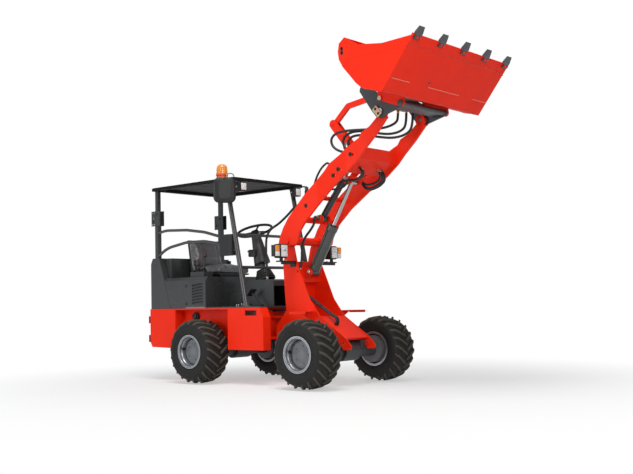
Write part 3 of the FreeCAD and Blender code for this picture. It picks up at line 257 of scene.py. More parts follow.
def hex_bolts(name, places, axis, size, material, body):
    first = hex_bolt((0, 0, 0), axis, size)
    made = []
    for place in places:
        made.append(stamp(first, Matrix.Translation(Vector(place))))
    bpy.data.objects.remove(first)
    return settle(join(made), name, material, body)


def weld(name, points, radius, material, body):
    """Weld bead along a seam: a slightly uneven round fillet."""
    deselect()
    bpy.ops.curve.primitive_nurbs_path_add()
    line = bpy.context.object
    line.data.splines.clear()
    run = line.data.splines.new("POLY")
    run.points.add(len(points) - 1)
    for spot, point in zip(run.points, points):
        spot.co = (*point, 1)
    line.data.bevel_depth = radius
    line.data.bevel_resolution = 2
    line.data.use_fill_caps = True
    pick(line)
    bpy.ops.object.convert(target="MESH")
    bpy.ops.object.shade_smooth()
    return settle(bpy.context.object, name, material, body)


red_paint = coat("red_paint", (0.87, 0.023, 0.003), 0.42, (2.2, 0.10), (240, 0.03), shine=0.16)
red_weld = coat("red_weld", (0.72, 0.026, 0.008), 0.42, (30, 0.18), (420, 0.35), shine=0.4)
finish_nodes(red_paint, "rear_chassis", "side_boxes", "counterweight", "front_chassis", "front_fenders",
             "boom", "lever", "link", "bucket")
plated = coat("plated_steel", (0.55, 0.52, 0.44), 0.32, (20, 0.15), (300, 0.03), metallic=0.9)
dark_bolt = coat("black_bolt", (0.035, 0.035, 0.037), 0.42, (20, 0.2), (300, 0.05), metallic=0.5)

weight_low, weight_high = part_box("counterweight")
boxes_low, boxes_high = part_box("side_boxes")
step_rows = 4
step_x = (boxes_high.x - 0.245, boxes_high.x - 0.09)
for side, name in SIDES:
    face = side * boxes_high.y
    fold_x = boxes_high.x - 0.268
    weld(f"{name}_side_box_fold", [(fold_x - 0.016, face - side * 0.001, 0.742),
                                   (fold_x, face - side * 0.001, 0.348)],
         0.0035, red_paint, "rear_frame")
    weld(f"{name}_side_box_edge", [(boxes_low.x + 0.004, face - side * 0.0015, 0.744),
                                   (boxes_low.x + 0.004, face - side * 0.0015, 0.346)], 0.004, red_paint,
         "rear_frame")
    ribs = []
    for row in range(step_rows):
        z = weight_high.z - 0.07 + row * 0.0125
        ribs.append(block((step_x[0] + 0.004, face - side * 0.0062, z),
                          (step_x[1] - 0.004, face - side * 0.001, z + 0.004),
                          0.0008))
    settle(join(ribs), f"{name}_step_grip", dark_bolt, "rear_frame")

# ---- Filler caps and tie-down points on the rear frame --------------------------
# A black fuel cap stands in the recess over each rear wheel, and two forged eyes
# are bolted to the counterweight for lashing the machine to a trailer.
black_plastic = coat("black_plastic", (0.014, 0.0145, 0.015), 0.42, (12, 0.2), (500, 0.10), shine=0.35)
for side, name in SIDES:
    cap_x = axle_rear - 0.235
    wall = side * 0.3795
    cap = join([bar((cap_x, wall, 0.668), (cap_x, wall + side * 0.024, 0.668), 0.044, 48, 0.005),
                bar((cap_x, wall + side * 0.024, 0.668), (cap_x, wall + side * 0.040, 0.668), 0.032, 12,
                    0.003)])
    settle(cap, f"{name}_filler_cap", black_plastic, "rear_frame")
    eye = torus((weight_low.x - 0.007, side * 0.22, 0.655), 0.020, 0.006, 36, 10, (0, math.pi / 2, 0))
    pad = bar((weight_low.x + 0.001, side * 0.22, 0.682), (weight_low.x - 0.014, side * 0.22, 0.682), 0.014,
              32, 0.002)
    settle(join([pad, eye]), f"{name}_lashing_eye", dark_bolt, "rear_frame")

# ---- Rubber bumpers -------------------------------------------------------------
# Four black rubber pads bolted to the back of the counterweight.
rubber = coat("rubber", (0.012, 0.012, 0.012), 0.62, (9, 0.25), (380, 0.12), shine=0.3)
pads_low, pads_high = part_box("bumpers")
pads = []
pad_rows, pad_half = (0.4375, 0.6375), 0.0375
for y in (-0.4, 0.4):
    for z in pad_rows:
        edge_y = math.copysign(boxes_high.y, y)
        pad = block((pads_low.x, min(edge_y, y - math.copysign(0.02, y)), z - pad_half),
                    (pads_high.x, max(edge_y, y - math.copysign(0.02, y)), z + pad_half), 0)
        choose(pad, "FACE", lambda face: face.normal.x < -0.9)
        bpy.ops.mesh.inset(thickness=0.022)
        push(0.010, 0, 0)
        bpy.ops.object.mode_set(mode="OBJECT")
        pads.append(soften(pad, 0.004, 3))
pads = settle(join(pads), "bumper_pads", rubber, "rear_frame")
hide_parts("bumpers")
pad_bolts = [(pads_low.x + 0.0125, y + turn, z) for y in (-0.4425, 0.4425) for turn in (-0.022, 0.022)
             for z in pad_rows]
hex_bolts("bumper_bolts", pad_bolts, (-1, 0, 0), 0.014, plated, "rear_frame")

# ---- Engine and towing pin ------------------------------------------------------
# The engine is a plain cast block under the cover. The towing pin is bare turned
# steel with a chain eye on top.
cast_iron = coat("cast_iron", (0.12, 0.125, 0.13), 0.6, (14, 0.3), (160, 0.35), metallic=0.4)
bare_steel = coat("bare_steel", (0.50, 0.49, 0.47), 0.34, (18, 0.2), (420, 0.05), metallic=1.0)
finish_nodes(cast_iron, "engine_block")
finish_nodes(bare_steel, "tow_pin", "articulation_pin", "boom_pin", "linkage_pins")

# ---- Rear hood and engine cover -------------------------------------------------
# Sheet-steel covers in satin anthracite: a hood behind the seat, its slanted seam,
# and a cover below the seat with a louvred grille on each side.
anthracite = coat("anthracite", (0.034, 0.036, 0.036), 0.30, (2.6, 0.16), (240, 0.035), spread=0.12,
                  clear=0.35)
lighter_grey = coat("hood_grey", (0.034, 0.036, 0.037), 0.32, (3.0, 0.14), (240, 0.035), spread=0.12,
                    clear=0.35)
finish_nodes(lighter_grey, "rear_hood")
finish_nodes(anthracite, "engine_cover", "seat_back_box")
grille_black = coat("grille_black", (0.012, 0.012, 0.013), 0.5, (8, 0.2), (300, 0.08))
cover_low, cover_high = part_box("engine_cover")
hood_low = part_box("rear_hood")[0]
for side, name in SIDES:
    slats = []
    wall = side * cover_high.y
    for row in range(15):
        z = 0.794 + 0.0152 * row
        slat = block((cover_high.x - 0.208, wall - side * 0.007, z),
                     (cover_high.x - 0.042, wall + side * 0.0015, z + 0.004),
                     0.001)
        slats.append(slat)
    settle(join(slats), f"{name}_grille_slats", grille_black, "rear_frame")
    backing = block((cover_high.x - 0.215, wall - side * 0.016, 0.79),
                    (cover_high.x - 0.035, wall - side * 0.012, 1.03), 0)
    settle(backing, f"{name}_grille_mesh", grille_black, "rear_frame")
    hinge_spots = [(cover_high.x - 0.30, z) for z in (0.80, 0.985)]
    latch = [bar((x, wall, z), (x, wall + side * 0.008, z), 0.013, 28, 0.002) for x, z in hinge_spots]
    settle(join(latch), f"{name}_cover_locks", dark_bolt, "rear_frame")
    rim_strip = block((cover_low.x + 0.35, wall - side * 0.004, 0.7505),
                      (cover_high.x - 0.005, wall + side * 0.004, 0.766), 0.0015)
    settle(rim_strip, f"{name}_cover_sill", coat(f"{name}_sill_grey", (0.20, 0.205, 0.205), 0.5),
           "rear_frame")
handle = join([block((hood_low.x - 0.009, y, 1.196), (hood_low.x + 0.001, y + 0.014, 1.21), 0.002)
               for y in (-0.07, 0.056)]
              + [bar((hood_low.x - 0.012, -0.075, 1.203), (hood_low.x - 0.012, 0.075, 1.203), 0.007, 24,
                     0.001)])
settle(handle, "hood_handle", dark_bolt, "rear_frame")
tail_lamp = coat("tail_lamp_red", (0.5, 0.012, 0.01), 0.12, (30, 0.1), (200, 0.02), clear=0.6)
for side, name in SIDES:
    lamp = block((hood_low.x - 0.018, side * 0.39 - 0.05, 0.86),
                 (hood_low.x + 0.001, side * 0.39 + 0.05, 0.94), 0.006)
    settle(lamp, f"{name}_tail_lamp", tail_lamp, "rear_frame")

# ---- Floor, console and pedals --------------------------------------------------
# The floor is tread plate with raised ovals. The console is folded black sheet,
# and the pedals are steel with ribbed rubber tops.
tread_steel = coat("tread_plate", (0.060, 0.062, 0.062), 0.40, (10, 0.3), (200, 0.06), metallic=0.3)
finish_nodes(tread_steel, "floor_plate")
console_black = coat("console_black", (0.030, 0.031, 0.033), 0.46, (5, 0.2), (340, 0.10))
finish_nodes(console_black, "front_console", "steering_column", "seat_base")
finish_nodes(dark_bolt, "pedals")
floor_low, floor_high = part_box("floor_plate")
first = bar((0, 0, -0.0005), (0, 0, 0.0016), 0.004, 8, 0, 0.0025)
first.data.transform(Matrix.Diagonal((3.2, 1, 1, 1)))
lozenges = []
for row in range(13):
    for column in range(24):
        x = floor_low.x + 0.03 + row * 0.045
        y = floor_low.y + 0.03 + column * 0.041
        if abs(y) < 0.17 and x < -0.36:
            continue
        turn = Matrix.Rotation(math.radians(45 if (row + column) % 2 else -45), 4, "Z")
        lozenges.append(stamp(first, Matrix.Translation((x, y, floor_high.z)) @ turn))
bpy.data.objects.remove(first)
settle(join(lozenges), "floor_tread", tread_steel, "rear_frame")
pedals_low, pedals_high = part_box("pedals")
ribs = []
for y in (-0.24, 0.24):
    for row in range(6):
        lean = row * 0.0095
        x, z = pedals_low.x + 0.006 + lean, pedals_high.z - 0.065 + lean * 65 / 60
        ribs.append(bar((x, y - 0.04, z), (x, y + 0.04, z), 0.0032, 10))
settle(join(ribs), "pedal_grips", rubber, "rear_frame")

# ---- Steering wheel and its column ----------------------------------------------
# A black moulded wheel with a spinner knob on a covered column. The switch box
# hangs on the left of the cover, with rocker switches and a key.
wheel_black = coat("wheel_rim_black", (0.009, 0.009, 0.010), 0.5, (10, 0.2), (480, 0.10), shine=0.25)
finish_nodes(wheel_black, "steering_wheel")
column_low, column_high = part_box("steering_column")
folds = []
for row in range(5):
    fold_at = (column_high.x - 0.105 - row * 0.006, 0, column_low.z + 0.016 + row * 0.019)
    folds.append(torus(fold_at, 0.093 - row * 0.007, 0.011, 40, 10, (0, math.radians(-17), 0)))
settle(join(folds), "column_boot_folds", rubber, "rear_frame")
switch_x = column_high.x - 0.16
switch_box = join([block((switch_x - 0.09, -0.10, 1.27), (switch_x + 0.005, -0.045, 1.345), 0.006),
                   block((switch_x - 0.10, -0.092, 1.283), (switch_x - 0.088, -0.076, 1.303), 0.002),
                   block((switch_x - 0.10, -0.068, 1.283), (switch_x - 0.088, -0.052, 1.303), 0.002),
                   bar((switch_x - 0.09, -0.085, 1.327), (switch_x - 0.108, -0.085, 1.327), 0.009, 20,
                       0.001)])
settle(switch_box, "switch_box", black_plastic, "rear_frame")

# ---- Seat -----------------------------------------------------------------------
# Foam cushion and backrest under black vinyl, pulled down by stitched seams. Each
# is inflated as a closed cover, so the crown and the drawn-in sides are real.
vinyl = coat("seat_vinyl", (0.135, 0.130, 0.134), 0.32, (16, 0.22), (620, 0.22), clear=0.35)
finish_nodes(console_black, "seat_base")


def stuffed(piece, held, frames, pressure):
    """Blows the closed cover up like a foam pad; held picks the vertices glued to the pan."""
    remesh = piece.modifiers.new("skin", "REMESH")
    remesh.mode = "VOXEL"
    remesh.voxel_size = 0.006
    bpy.ops.object.modifier_apply(modifier="skin")
    glued = piece.vertex_groups.new(name="glued")
    glued.add([v.index for v in piece.data.vertices if held(v.co)], 1.0, "REPLACE")
    cloth = piece.modifiers.new("cover", "CLOTH")
    cloth.settings.quality = 4
    cloth.settings.mass = 0.4
    cloth.settings.tension_stiffness = 25
    cloth.settings.compression_stiffness = 25
    cloth.settings.shear_stiffness = 12
    cloth.settings.bending_stiffness = 1.5
    cloth.settings.use_pressure = True
    cloth.settings.uniform_pressure_force = pressure
    cloth.settings.effector_weights.gravity = 0
    cloth.settings.vertex_group_mass = "glued"
    cloth.point_cache.frame_end = frames
    for tick in range(1, frames + 1):
        bpy.context.scene.frame_set(tick)
    bpy.ops.object.modifier_apply(modifier="cover")
    bpy.context.scene.frame_set(1)
    piece.vertex_groups.clear()
    calm = piece.modifiers.new("calm", "SMOOTH")
    calm.iterations = 4
    bpy.ops.object.modifier_apply(modifier="calm")
    return piece


def press_seam(piece, along, depth, normal, reach):
    """Draws a stitched line down into the foam; along is the distance from the line."""
    pick(piece)
    choose(piece, "VERT", lambda vertex: abs(along(vertex.co)) < 0.004)
    bpy.ops.transform.translate(value=Vector(normal) * -depth, use_proportional_edit=True,
                                proportional_edit_falloff="SMOOTH", proportional_size=reach)
    bpy.ops.object.mode_set(mode="OBJECT")


def rounded(piece):
    """Smooths a finished pad by one step of subdivision."""
    piece.modifiers.new("round", "SUBSURF").levels = 1
    bpy.ops.object.modifier_apply(modifier="round")
    bpy.ops.object.shade_smooth()


seat_low, seat_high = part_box("seat_cushion")
seat_mid = (seat_low + seat_high) / 2
swell = 0.014
deselect()
bpy.ops.mesh.primitive_cube_add(size=1, location=(seat_mid.x, 0, seat_mid.z - 0.005),
                                scale=(seat_high.x - seat_low.x - swell, seat_high.y - seat_low.y - swell,
                                       seat_high.z - seat_low.z - swell))
bake()
cushion = bpy.context.object
soften(cushion, 0.022, 4)
stuffed(cushion, lambda co: co.z < seat_low.z + 0.006, 18, 4.0)
seam_end = seat_high.x - 0.03
for line in (-0.115, 0.115):
    press_seam(cushion, lambda co, line=line: co.y - line if co.z > seat_mid.z and co.x < seam_end else 1,
               0.007, (0, 0, 1), 0.026)
press_seam(cushion, lambda co: co.x - (seat_high.x - 0.10) if co.z > seat_mid.z else 1, 0.006, (0, 0, 1),
           0.026)
rounded(cushion)
settle(cushion, "cushion_pad", vinyl, "rear_frame")
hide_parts("seat_cushion")

back_low, back_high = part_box("seat_backrest")
pan_lean = math.atan(62 / 370)
back_size = (0.050, back_high.y - back_low.y - swell, back_high.z - back_low.z - 0.020)
deselect()
bpy.ops.mesh.primitive_cube_add(size=1, location=(0, 0, 0), scale=back_size)
bake()
backrest = bpy.context.object
soften(backrest, 0.020, 4)
stuffed(backrest, lambda co: co.x < -0.018, 18, 4.0)
for line in (-0.11, 0.11):
    press_seam(backrest, lambda co, line=line: co.y - line if co.x > 0 and abs(co.z) < 0.15 else 1, 0.006,
               (1, 0, 0), 0.024)
press_seam(backrest, lambda co: co.z + 0.055 if co.x > 0 else 1, 0.006, (1, 0, 0), 0.024)
rounded(backrest)
backrest.data.transform(Matrix.Rotation(-pan_lean, 4, "Y"))
backrest.data.transform(Matrix.Translation(((back_low.x + back_high.x) / 2 + 0.002, 0,
                                            (back_low.z + back_high.z) / 2)))
settle(backrest, "backrest_pad", vinyl, "rear_frame")
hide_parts("seat_backrest")
buckles = []
for side in (-1, 1):
    stalk = block((seat_low.x + 0.03, side * 0.236 - 0.006, 1.11),
                  (seat_low.x + 0.065, side * 0.236 + 0.006, 1.215), 0.003)
    head = block((seat_low.x + 0.022, side * 0.238 - 0.012, 1.20),
                 (seat_low.x + 0.073, side * 0.238 + 0.012, 1.262), 0.005)
    buckles += [stalk, head]
settle(join(buckles), "belt_buckles", black_plastic, "rear_frame")

# ---- Hand levers ----------------------------------------------------------------
# The boom joystick and a short auxiliary lever stand to the driver's right, each
# with a moulded knob over a folded gaiter.
finish_nodes(console_black, "joystick_console")
console_low, console_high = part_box("joystick_console")
knob_red = coat("knob_red", (0.22, 0.012, 0.012), 0.35, (20, 0.15), (300, 0.05), clear=0.3)
lever_x = (console_low.x + console_high.x) / 2 + 0.015
lever_y = -0.345
gaiters = []
for x in (lever_x + 0.02, lever_x - 0.06):
    for row in range(4):
        gaiters.append(torus((x, lever_y, 1.134 + row * 0.010), 0.031 - row * 0.005, 0.006, 28, 8))
settle(join(gaiters), "lever_gaiters", rubber, "rear_frame")
ball = bar((lever_x - 0.07, lever_y, 1.205), (lever_x - 0.072, lever_y, 1.246), 0.020, 28, 0.008)
settle(ball, "auxiliary_knob", knob_red, "rear_frame")
button = bar((lever_x + 0.052, lever_y - 0.007, 1.303), (lever_x + 0.064, lever_y - 0.007, 1.309), 0.008,
             20, 0.002)
settle(button, "joystick_button", knob_red, "rear_frame")

# ---- Canopy and its posts -------------------------------------------------------
# Anthracite roof pressing on four tubular posts. The rear pair folds at bolted
# hinge brackets; the front pair stands on bolted feet.
roof_paint = coat("roof_paint", (0.012, 0.013, 0.012), 0.55, (2.4, 0.2), (240, 0.05), shine=0.05)
finish_nodes(roof_paint, "canopy_roof")
finish_nodes(anthracite, "rear_posts", "front_posts", "guard_rails")
finish_nodes(black_plastic, "document_box")
roof_low, roof_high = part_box("canopy_roof")
posts_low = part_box("rear_posts")[0]
hinge_pins = []
for side in (-1, 1):
    pin = bar((posts_low.x + 0.034, side * 0.43, 1.72), (posts_low.x + 0.034, side * 0.492, 1.72), 0.013,
              28, 0.002)
    hinge_pins.append(pin)
settle(join(hinge_pins), "folding_pins", plated, "rear_frame")
for side, name in SIDES:
    hex_bolts(f"{name}_hinge_bolts", [(x, side * 0.487, z) for x in (posts_low.x + 0.018, posts_low.x + 0.050)
                                      for z in (1.658, 1.782)], (0, side, 0), 0.013, plated, "rear_frame")
roof_screws = [(x, y, roof_high.z - 0.015) for x in (roof_low.x + 0.045, roof_high.x - 0.045)
               for y in (-0.47, -0.16, 0.16, 0.47)]
hex_bolts("roof_screws", roof_screws, (0, 0, 1), 0.012, dark_bolt, "rear_frame")
seam = block((roof_low.x + 0.03, -0.475, roof_low.z + 0.001),
             (roof_low.x + 0.034, 0.475, roof_low.z + 0.012), 0.001)
settle(seam, "roof_drip_seam", roof_paint, "rear_frame")
lamp_lens = coat("lamp_lens", (0.75, 0.76, 0.74), 0.08, (60, 0.1), (90, 0.35), clear=0.8)
ceiling = bar((roof_high.x - 0.45, -0.26, roof_low.z + 0.044),
              (roof_high.x - 0.45, -0.26, roof_low.z + 0.012), 0.045, 40, 0.004)
settle(ceiling, "ceiling_lamp", black_plastic, "rear_frame")
glow = bar((roof_high.x - 0.45, -0.26, roof_low.z + 0.013), (roof_high.x - 0.45, -0.26, roof_low.z + 0.004),
           0.034, 40, 0.003)
settle(glow, "ceiling_lamp_lens", lamp_lens, "rear_frame")

# ---- Beacon ---------------------------------------------------------------------
# A flashing beacon with a ribbed amber dome on an orange socket.
amber = coat("amber_lens", (0.85, 0.27, 0.01), 0.12, (30, 0.12), (120, 0.08), clear=0.9)
socket_orange = coat("beacon_socket", (0.70, 0.10, 0.02), 0.4, (20, 0.1), (300, 0.05))
beacon_low, beacon_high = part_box("beacon")
beacon_at = Vector(((beacon_low.x + beacon_high.x) / 2, (beacon_low.y + beacon_high.y) / 2, beacon_low.z))


def turned(points, foot):
    """Turns a profile of (radius, height) points about an upright axis."""
    return spun([(r, 0, z) for r, z in points], foot, (0, 0, 1), 56, 40)


socket = turned(((0.0003, 0.0005), (0.060, 0.0005), (0.064, 0.004), (0.064, 0.014), (0.059, 0.018),
                 (0.058, 0.052), (0.063, 0.056), (0.063, 0.072), (0.060, 0.076), (0.0003, 0.076)), beacon_at)
settle(socket, "beacon_socket", socket_orange, "rear_frame")
dome = turned(((0.0003, 0.0755), (0.057, 0.0755), (0.0565, 0.090), (0.055, 0.130), (0.050, 0.150),
               (0.040, 0.163), (0.024, 0.171), (0.0003, 0.174)), beacon_at)
ribs = []
for turn in range(24):
    angle = turn * math.tau / 24
    way = Vector((math.cos(angle), math.sin(angle), 0))
    ribs.append(bar(beacon_at + way * 0.0560 + Vector((0, 0, 0.080)),
                    beacon_at + way * 0.0545 + Vector((0, 0, 0.132)), 0.002, 8))
dome = settle(join([dome] + ribs), "beacon_dome", amber, "rear_frame")
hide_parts("beacon")
guard_beige = coat("guard_beige", (0.42, 0.36, 0.27), 0.5, (20, 0.15), (300, 0.06))
hoop = [Vector((axle_front - 1.262, -0.335, roof_high.z - 0.010)),
        Vector((axle_front - 1.262, -0.335, roof_high.z + 0.045)),
        Vector((axle_front - 1.255, -0.325, roof_high.z + 0.062)),
        Vector((axle_front - 1.240, -0.305, roof_high.z + 0.066)),
        Vector((axle_front - 1.225, -0.285, roof_high.z + 0.060)),
        Vector((axle_front - 1.220, -0.275, roof_high.z + 0.040)),
        Vector((axle_front - 1.220, -0.275, roof_high.z - 0.010))]
loop = [bar(p, q, 0.0065, 14) for p, q in zip(hoop, hoop[1:])]
settle(join(loop), "beacon_cable_guard", guard_beige, "rear_frame")

# ---- Mirrors and work lamps -----------------------------------------------------
# Glass set in the back of each mirror case. Each work lamp has a moulded lens in a
# black rim, with a nut on each side.
glass = coat("mirror_glass", (0.62, 0.66, 0.68), 0.03, (3, 0.05), (50, 0.0), metallic=1.0, spread=0.01)
reflector = coat("reflector", (0.78, 0.79, 0.80), 0.15, (50, 0.1), (60, 0.2), metallic=1.0, spread=0.05)
finish_nodes(black_plastic, "work_lights")
work_low, work_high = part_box("work_lights")
mirror_shells = []


def round_corners(plate, radius, thinner):
    """Rounds the corners of an upright plate; the edges through it are longer than thinner."""
    spots = [vertex.co.copy() for vertex in plate.data.vertices]
    choose(plate, "EDGE", lambda edge: abs(spots[edge.vertices[0]].x - spots[edge.vertices[1]].x) > thinner)
    bpy.ops.mesh.bevel(offset=radius, segments=8)


for side, name in SIDES:
    y, mirror_x, arm_z = side * 0.610, axle_front - 1.005, 2.035
    shell = block((mirror_x - 0.022, y - 0.110, 1.785), (mirror_x + 0.0, y + 0.110, 2.035), 0)
    round_corners(shell, 0.055, 0.01)
    choose(shell, "FACE", lambda face: face.normal.x > 0.9)
    push(0.012, 0, 0)
    bpy.ops.transform.resize(value=(1, 0.86, 0.90))
    push(0.007, 0, 0)
    bpy.ops.transform.resize(value=(1, 0.62, 0.74))
    bpy.ops.object.mode_set(mode="OBJECT")
    soften(shell, 0.003, 2, 25)
    to_driver = (Matrix.Translation((mirror_x, y, 0)) @ Matrix.Rotation(side * math.radians(40), 4, "Z")
                 @ Matrix.Translation((-mirror_x, -y, 0)))
    shell.data.transform(to_driver)
    arm = [Vector((axle_front - 1.060, side * 0.5205, arm_z)),
           Vector((mirror_x - 0.035, side * 0.535, arm_z)),
           Vector((mirror_x, side * 0.570, 2.033)), Vector((mirror_x, y, 2.020))]
    elbow = [bar(p, q, 0.0078, 20) for p, q in zip(arm, arm[1:])]
    socket = bar((mirror_x, y, 2.030), (mirror_x, y, 2.005), 0.016, 28, 0.004)
    clamp = block((axle_front - 1.080, side * 0.5202, arm_z - 0.015),
                  (axle_front - 1.040, side * 0.5275, arm_z + 0.015),
                  0.002)
    mirror_shells.append(settle(join([shell, socket, clamp] + elbow), f"{name}_mirror_case", black_plastic,
                                "rear_frame"))
    pane = block((mirror_x - 0.0245, y - 0.095, 1.803), (mirror_x - 0.021, y + 0.095, 2.017), 0)
    round_corners(pane, 0.045, 0.001)
    bpy.ops.object.mode_set(mode="OBJECT")
    soften(pane, 0.0008, 1, 25)
    pane.data.transform(to_driver)
    settle(pane, f"{name}_mirror_glass", glass, "rear_frame")
    y = side * 0.404
    rim_piece = block((work_high.x - 0.004, y - 0.043, work_low.z + 0.003),
                      (work_high.x + 0.004, y + 0.043, work_low.z + 0.088), 0.005)
    settle(rim_piece, f"{name}_work_lamp_rim", black_plastic, "rear_frame")
    lens = block((work_high.x + 0.001, y - 0.035, work_low.z + 0.011),
                 (work_high.x + 0.008, y + 0.035, work_low.z + 0.080), 0.003)
    settle(lens, f"{name}_work_lens", lamp_lens, "rear_frame")
    nuts = [(work_high.x - 0.05, y + turn * 0.0465, work_low.z + 0.045) for turn in (-1, 1)]
    for nut, turn in zip(nuts, (-1, 1)):
        hex_bolts(f"{name}_work_nut_{'out' if turn * side > 0 else 'in'}", [nut], (0, turn, 0), 0.012,
                  plated, "rear_frame")
for shell in mirror_shells:
    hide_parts("mirrors")

# ---- Wheels ---------------------------------------------------------------------
# Wide flotation tyres with chevron lugs, moulded in one with the carcass, on
# silver-sprayed pressed rims held by a ring of nuts round a dark hub.
tyre_black = coat("tyre_rubber", (0.0095, 0.0085, 0.0075), 0.70, (7, 0.30), (300, 0.25), spread=0.08,
                  shine=0.35)
disc_silver = coat("disc_silver", (0.185, 0.190, 0.200), 0.50, (6, 0.12), (260, 0.05), shine=0.3)
# Lug material: a dust colour, made lighter still as a painted highlight on the lug edges.
tread_dust_and_highlight = coat("tread_dust_and_painted_highlight", (0.062, 0.053, 0.043), 0.78, (16, 0.35), (300, 0.30), spread=0.08,
                   shine=0.35)
silver = coat("rim_silver", (0.36, 0.37, 0.395), 0.34, (5, 0.12), (380, 0.05), metallic=0.75, spread=0.08)
hub_grey = coat("hub_grey", (0.040, 0.043, 0.047), 0.5, (12, 0.25), (260, 0.15))
finish_nodes(hub_grey, "front_axle", "rear_axle")
tyre_mid = (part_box("front_left_tyre")[0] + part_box("front_left_tyre")[1]) / 2
tread_radius = tyre_mid.z
carcass = ((-0.143, 0.156), (-0.138, 0.167), (-0.133, 0.171), (-0.141, 0.180), (-0.150, 0.198),
           (-0.1555, 0.222),
           (-0.1552, 0.244), (-0.151, 0.262), (-0.141, 0.277), (-0.120, 0.288), (-0.080, 0.296),
           (-0.040, 0.300),
           (0.0, 0.301), (0.040, 0.300), (0.080, 0.296), (0.120, 0.288), (0.141, 0.277), (0.151, 0.262),
           (0.1552, 0.244), (0.1555, 0.222), (0.150, 0.198), (0.141, 0.180), (0.133, 0.171), (0.138, 0.167),
           (0.143, 0.156))


def lathe(points, centre, steps=96):
    """Turns a profile of (across, radius) points about the wheel axis."""
    return spun([(0, y, r) for y, r in points], centre, (0, 1, 0), steps, 50)


def lug(side, centre):
    """One tread bar at the top of the tyre, from the middle out over the shoulder."""
    deselect()
    bpy.ops.mesh.primitive_cube_add(size=1, location=(centre[0] + 0.034, centre[1] + side * 0.004,
                                                      centre[2] + 0.3062),
                                    scale=(0.022, 0.004, 0.027))
    bake()
    bar_piece = bpy.context.object
    choose(bar_piece, "FACE", lambda face: face.normal.y * side > 0.9)
    for x, y, z in ((-0.036, 0.055, -0.002), (-0.027, 0.042, -0.006), (-0.014, 0.023, -0.012),
                    (-0.006, 0.014, -0.020), (-0.003, 0.0085, -0.026)):
        push(x, side * y, z)
    bpy.ops.mesh.select_all(action="SELECT")
    bpy.ops.mesh.normals_make_consistent(inside=False)
    bpy.ops.object.mode_set(mode="OBJECT")
    return soften(bar_piece, 0.0025, 1, 40)


def ring(source, centre, count, offset=0.0):
    """Copies of a piece at even turns round the wheel axis."""
    made = []
    for step in range(count):
        about = Matrix.Translation(centre) @ Matrix.Rotation((step + offset) * math.tau / count, 4, "Y")
        made.append(stamp(source, about @ Matrix.Translation(-Vector(centre))))
    bpy.data.objects.remove(source)
    return made


bars = 21
for end, x in (("front", axle_front), ("rear", axle_rear)):
    for name, side in (("left", 1), ("right", -1)):
        centre = Vector((x, side * tyre_mid.y, tread_radius))
        parts = [lathe(carcass, centre)]
        tread = ring(lug(1, centre), centre, bars) + ring(lug(-1, centre), centre, bars, 0.5)
        settle(join(tread), f"{end}_{name}_tread_bars", tread_dust_and_highlight, f"{end}_{name}_wheel")
        for face, radius in ((0.1545, 0.214), (0.1535, 0.252)):
            for flank in (-1, 1):
                parts.append(torus((x, centre.y + flank * (face - 0.0008), tread_radius), radius, 0.0022,
                                   96, 6,
                                   (math.pi / 2, 0, 0)))
        tyre = settle(join(parts), f"{end}_{name}_tyre_skin", tyre_black, f"{end}_{name}_wheel")
        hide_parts(f"{end}_{name}_tyre")
        finish_nodes(silver, f"{end}_{name}_rim")
        disc = centre.y + side * 0.042
        nut = hex_bolt((x, centre.y + side * 0.079, tread_radius + 0.0825), (0, side, 0), 0.015)
        nuts = ring(nut, centre, 5, 0.25)
        cover = lathe([(side * y, r) for y, r in (
            (0.0425, 0.1340), (0.060, 0.1325), (0.071, 0.1270), (0.077, 0.1160), (0.0795, 0.1020),
                                                  (0.0797, 0.0600),
            (0.0835, 0.0560), (0.0845, 0.0006), (0.0765, 0.0006), (0.0763, 0.1000), (0.0735, 0.1140),
                                                  (0.066, 0.1240),
            (0.0425, 0.1290), (0.0425, 0.1340))], centre, 72)
        settle(join(nuts + [cover]), f"{end}_{name}_wheel_disc", disc_silver, f"{end}_{name}_wheel")
        barrel = lathe([(side * y, r) for y, r in (
            (0.1405, 0.1480), (0.1385, 0.1462), (0.122, 0.1455), (0.114, 0.1450), (0.108, 0.1385),
                                                   (0.102, 0.1362),
            (0.060, 0.1350), (0.050, 0.1340), (0.0445, 0.128), (0.0425, 0.120), (0.0415, 0.120),
                                                   (0.0415, 0.1480), (0.1405, 0.1480))], centre, 96)
        settle(barrel, f"{end}_{name}_rim_barrel", silver, f"{end}_{name}_wheel")
        valve_at = Vector((x - 0.134, disc + side * 0.052, tread_radius + 0.022))
        stem = join([bar(valve_at, valve_at + Vector((0.012, side * 0.004, 0)), 0.015, 24, 0.002),
                     bar(valve_at + Vector((0.010, side * 0.002, 0)),
                         valve_at + Vector((0.022, side * 0.030, 0)), 0.0075, 16, 0.001),
                     bar(valve_at + Vector((0.022, side * 0.030, 0)),
                         valve_at + Vector((0.025, side * 0.042, 0)), 0.009, 12, 0.001)])
        settle(stem, f"{end}_{name}_valve", rubber, f"{end}_{name}_wheel")

# ---- Hub ends and drive motors --------------------------------------------------
# Each axle carries a hydraulic drive motor in a ribbed iron housing behind each
# wheel disc.
for end, x, body in (("front", axle_front, "front_frame"), ("rear", axle_rear, "rear_frame")):
    low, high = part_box(f"{end}_axle")
    for side, name in SIDES:
        spindle_face = high.y if side > 0 else low.y
        inner = spindle_face - side * 0.155
        fins = [bar((x, inner - side * (0.030 + 0.022 * row), tread_radius),
                    (x, inner - side * (0.036 + 0.022 * row), tread_radius),
                    0.132 if row else 0.136, 64, 0.0015) for row in range(4)]
        settle(join(fins), f"{end}_{name}_motor_fins", cast_iron, body)

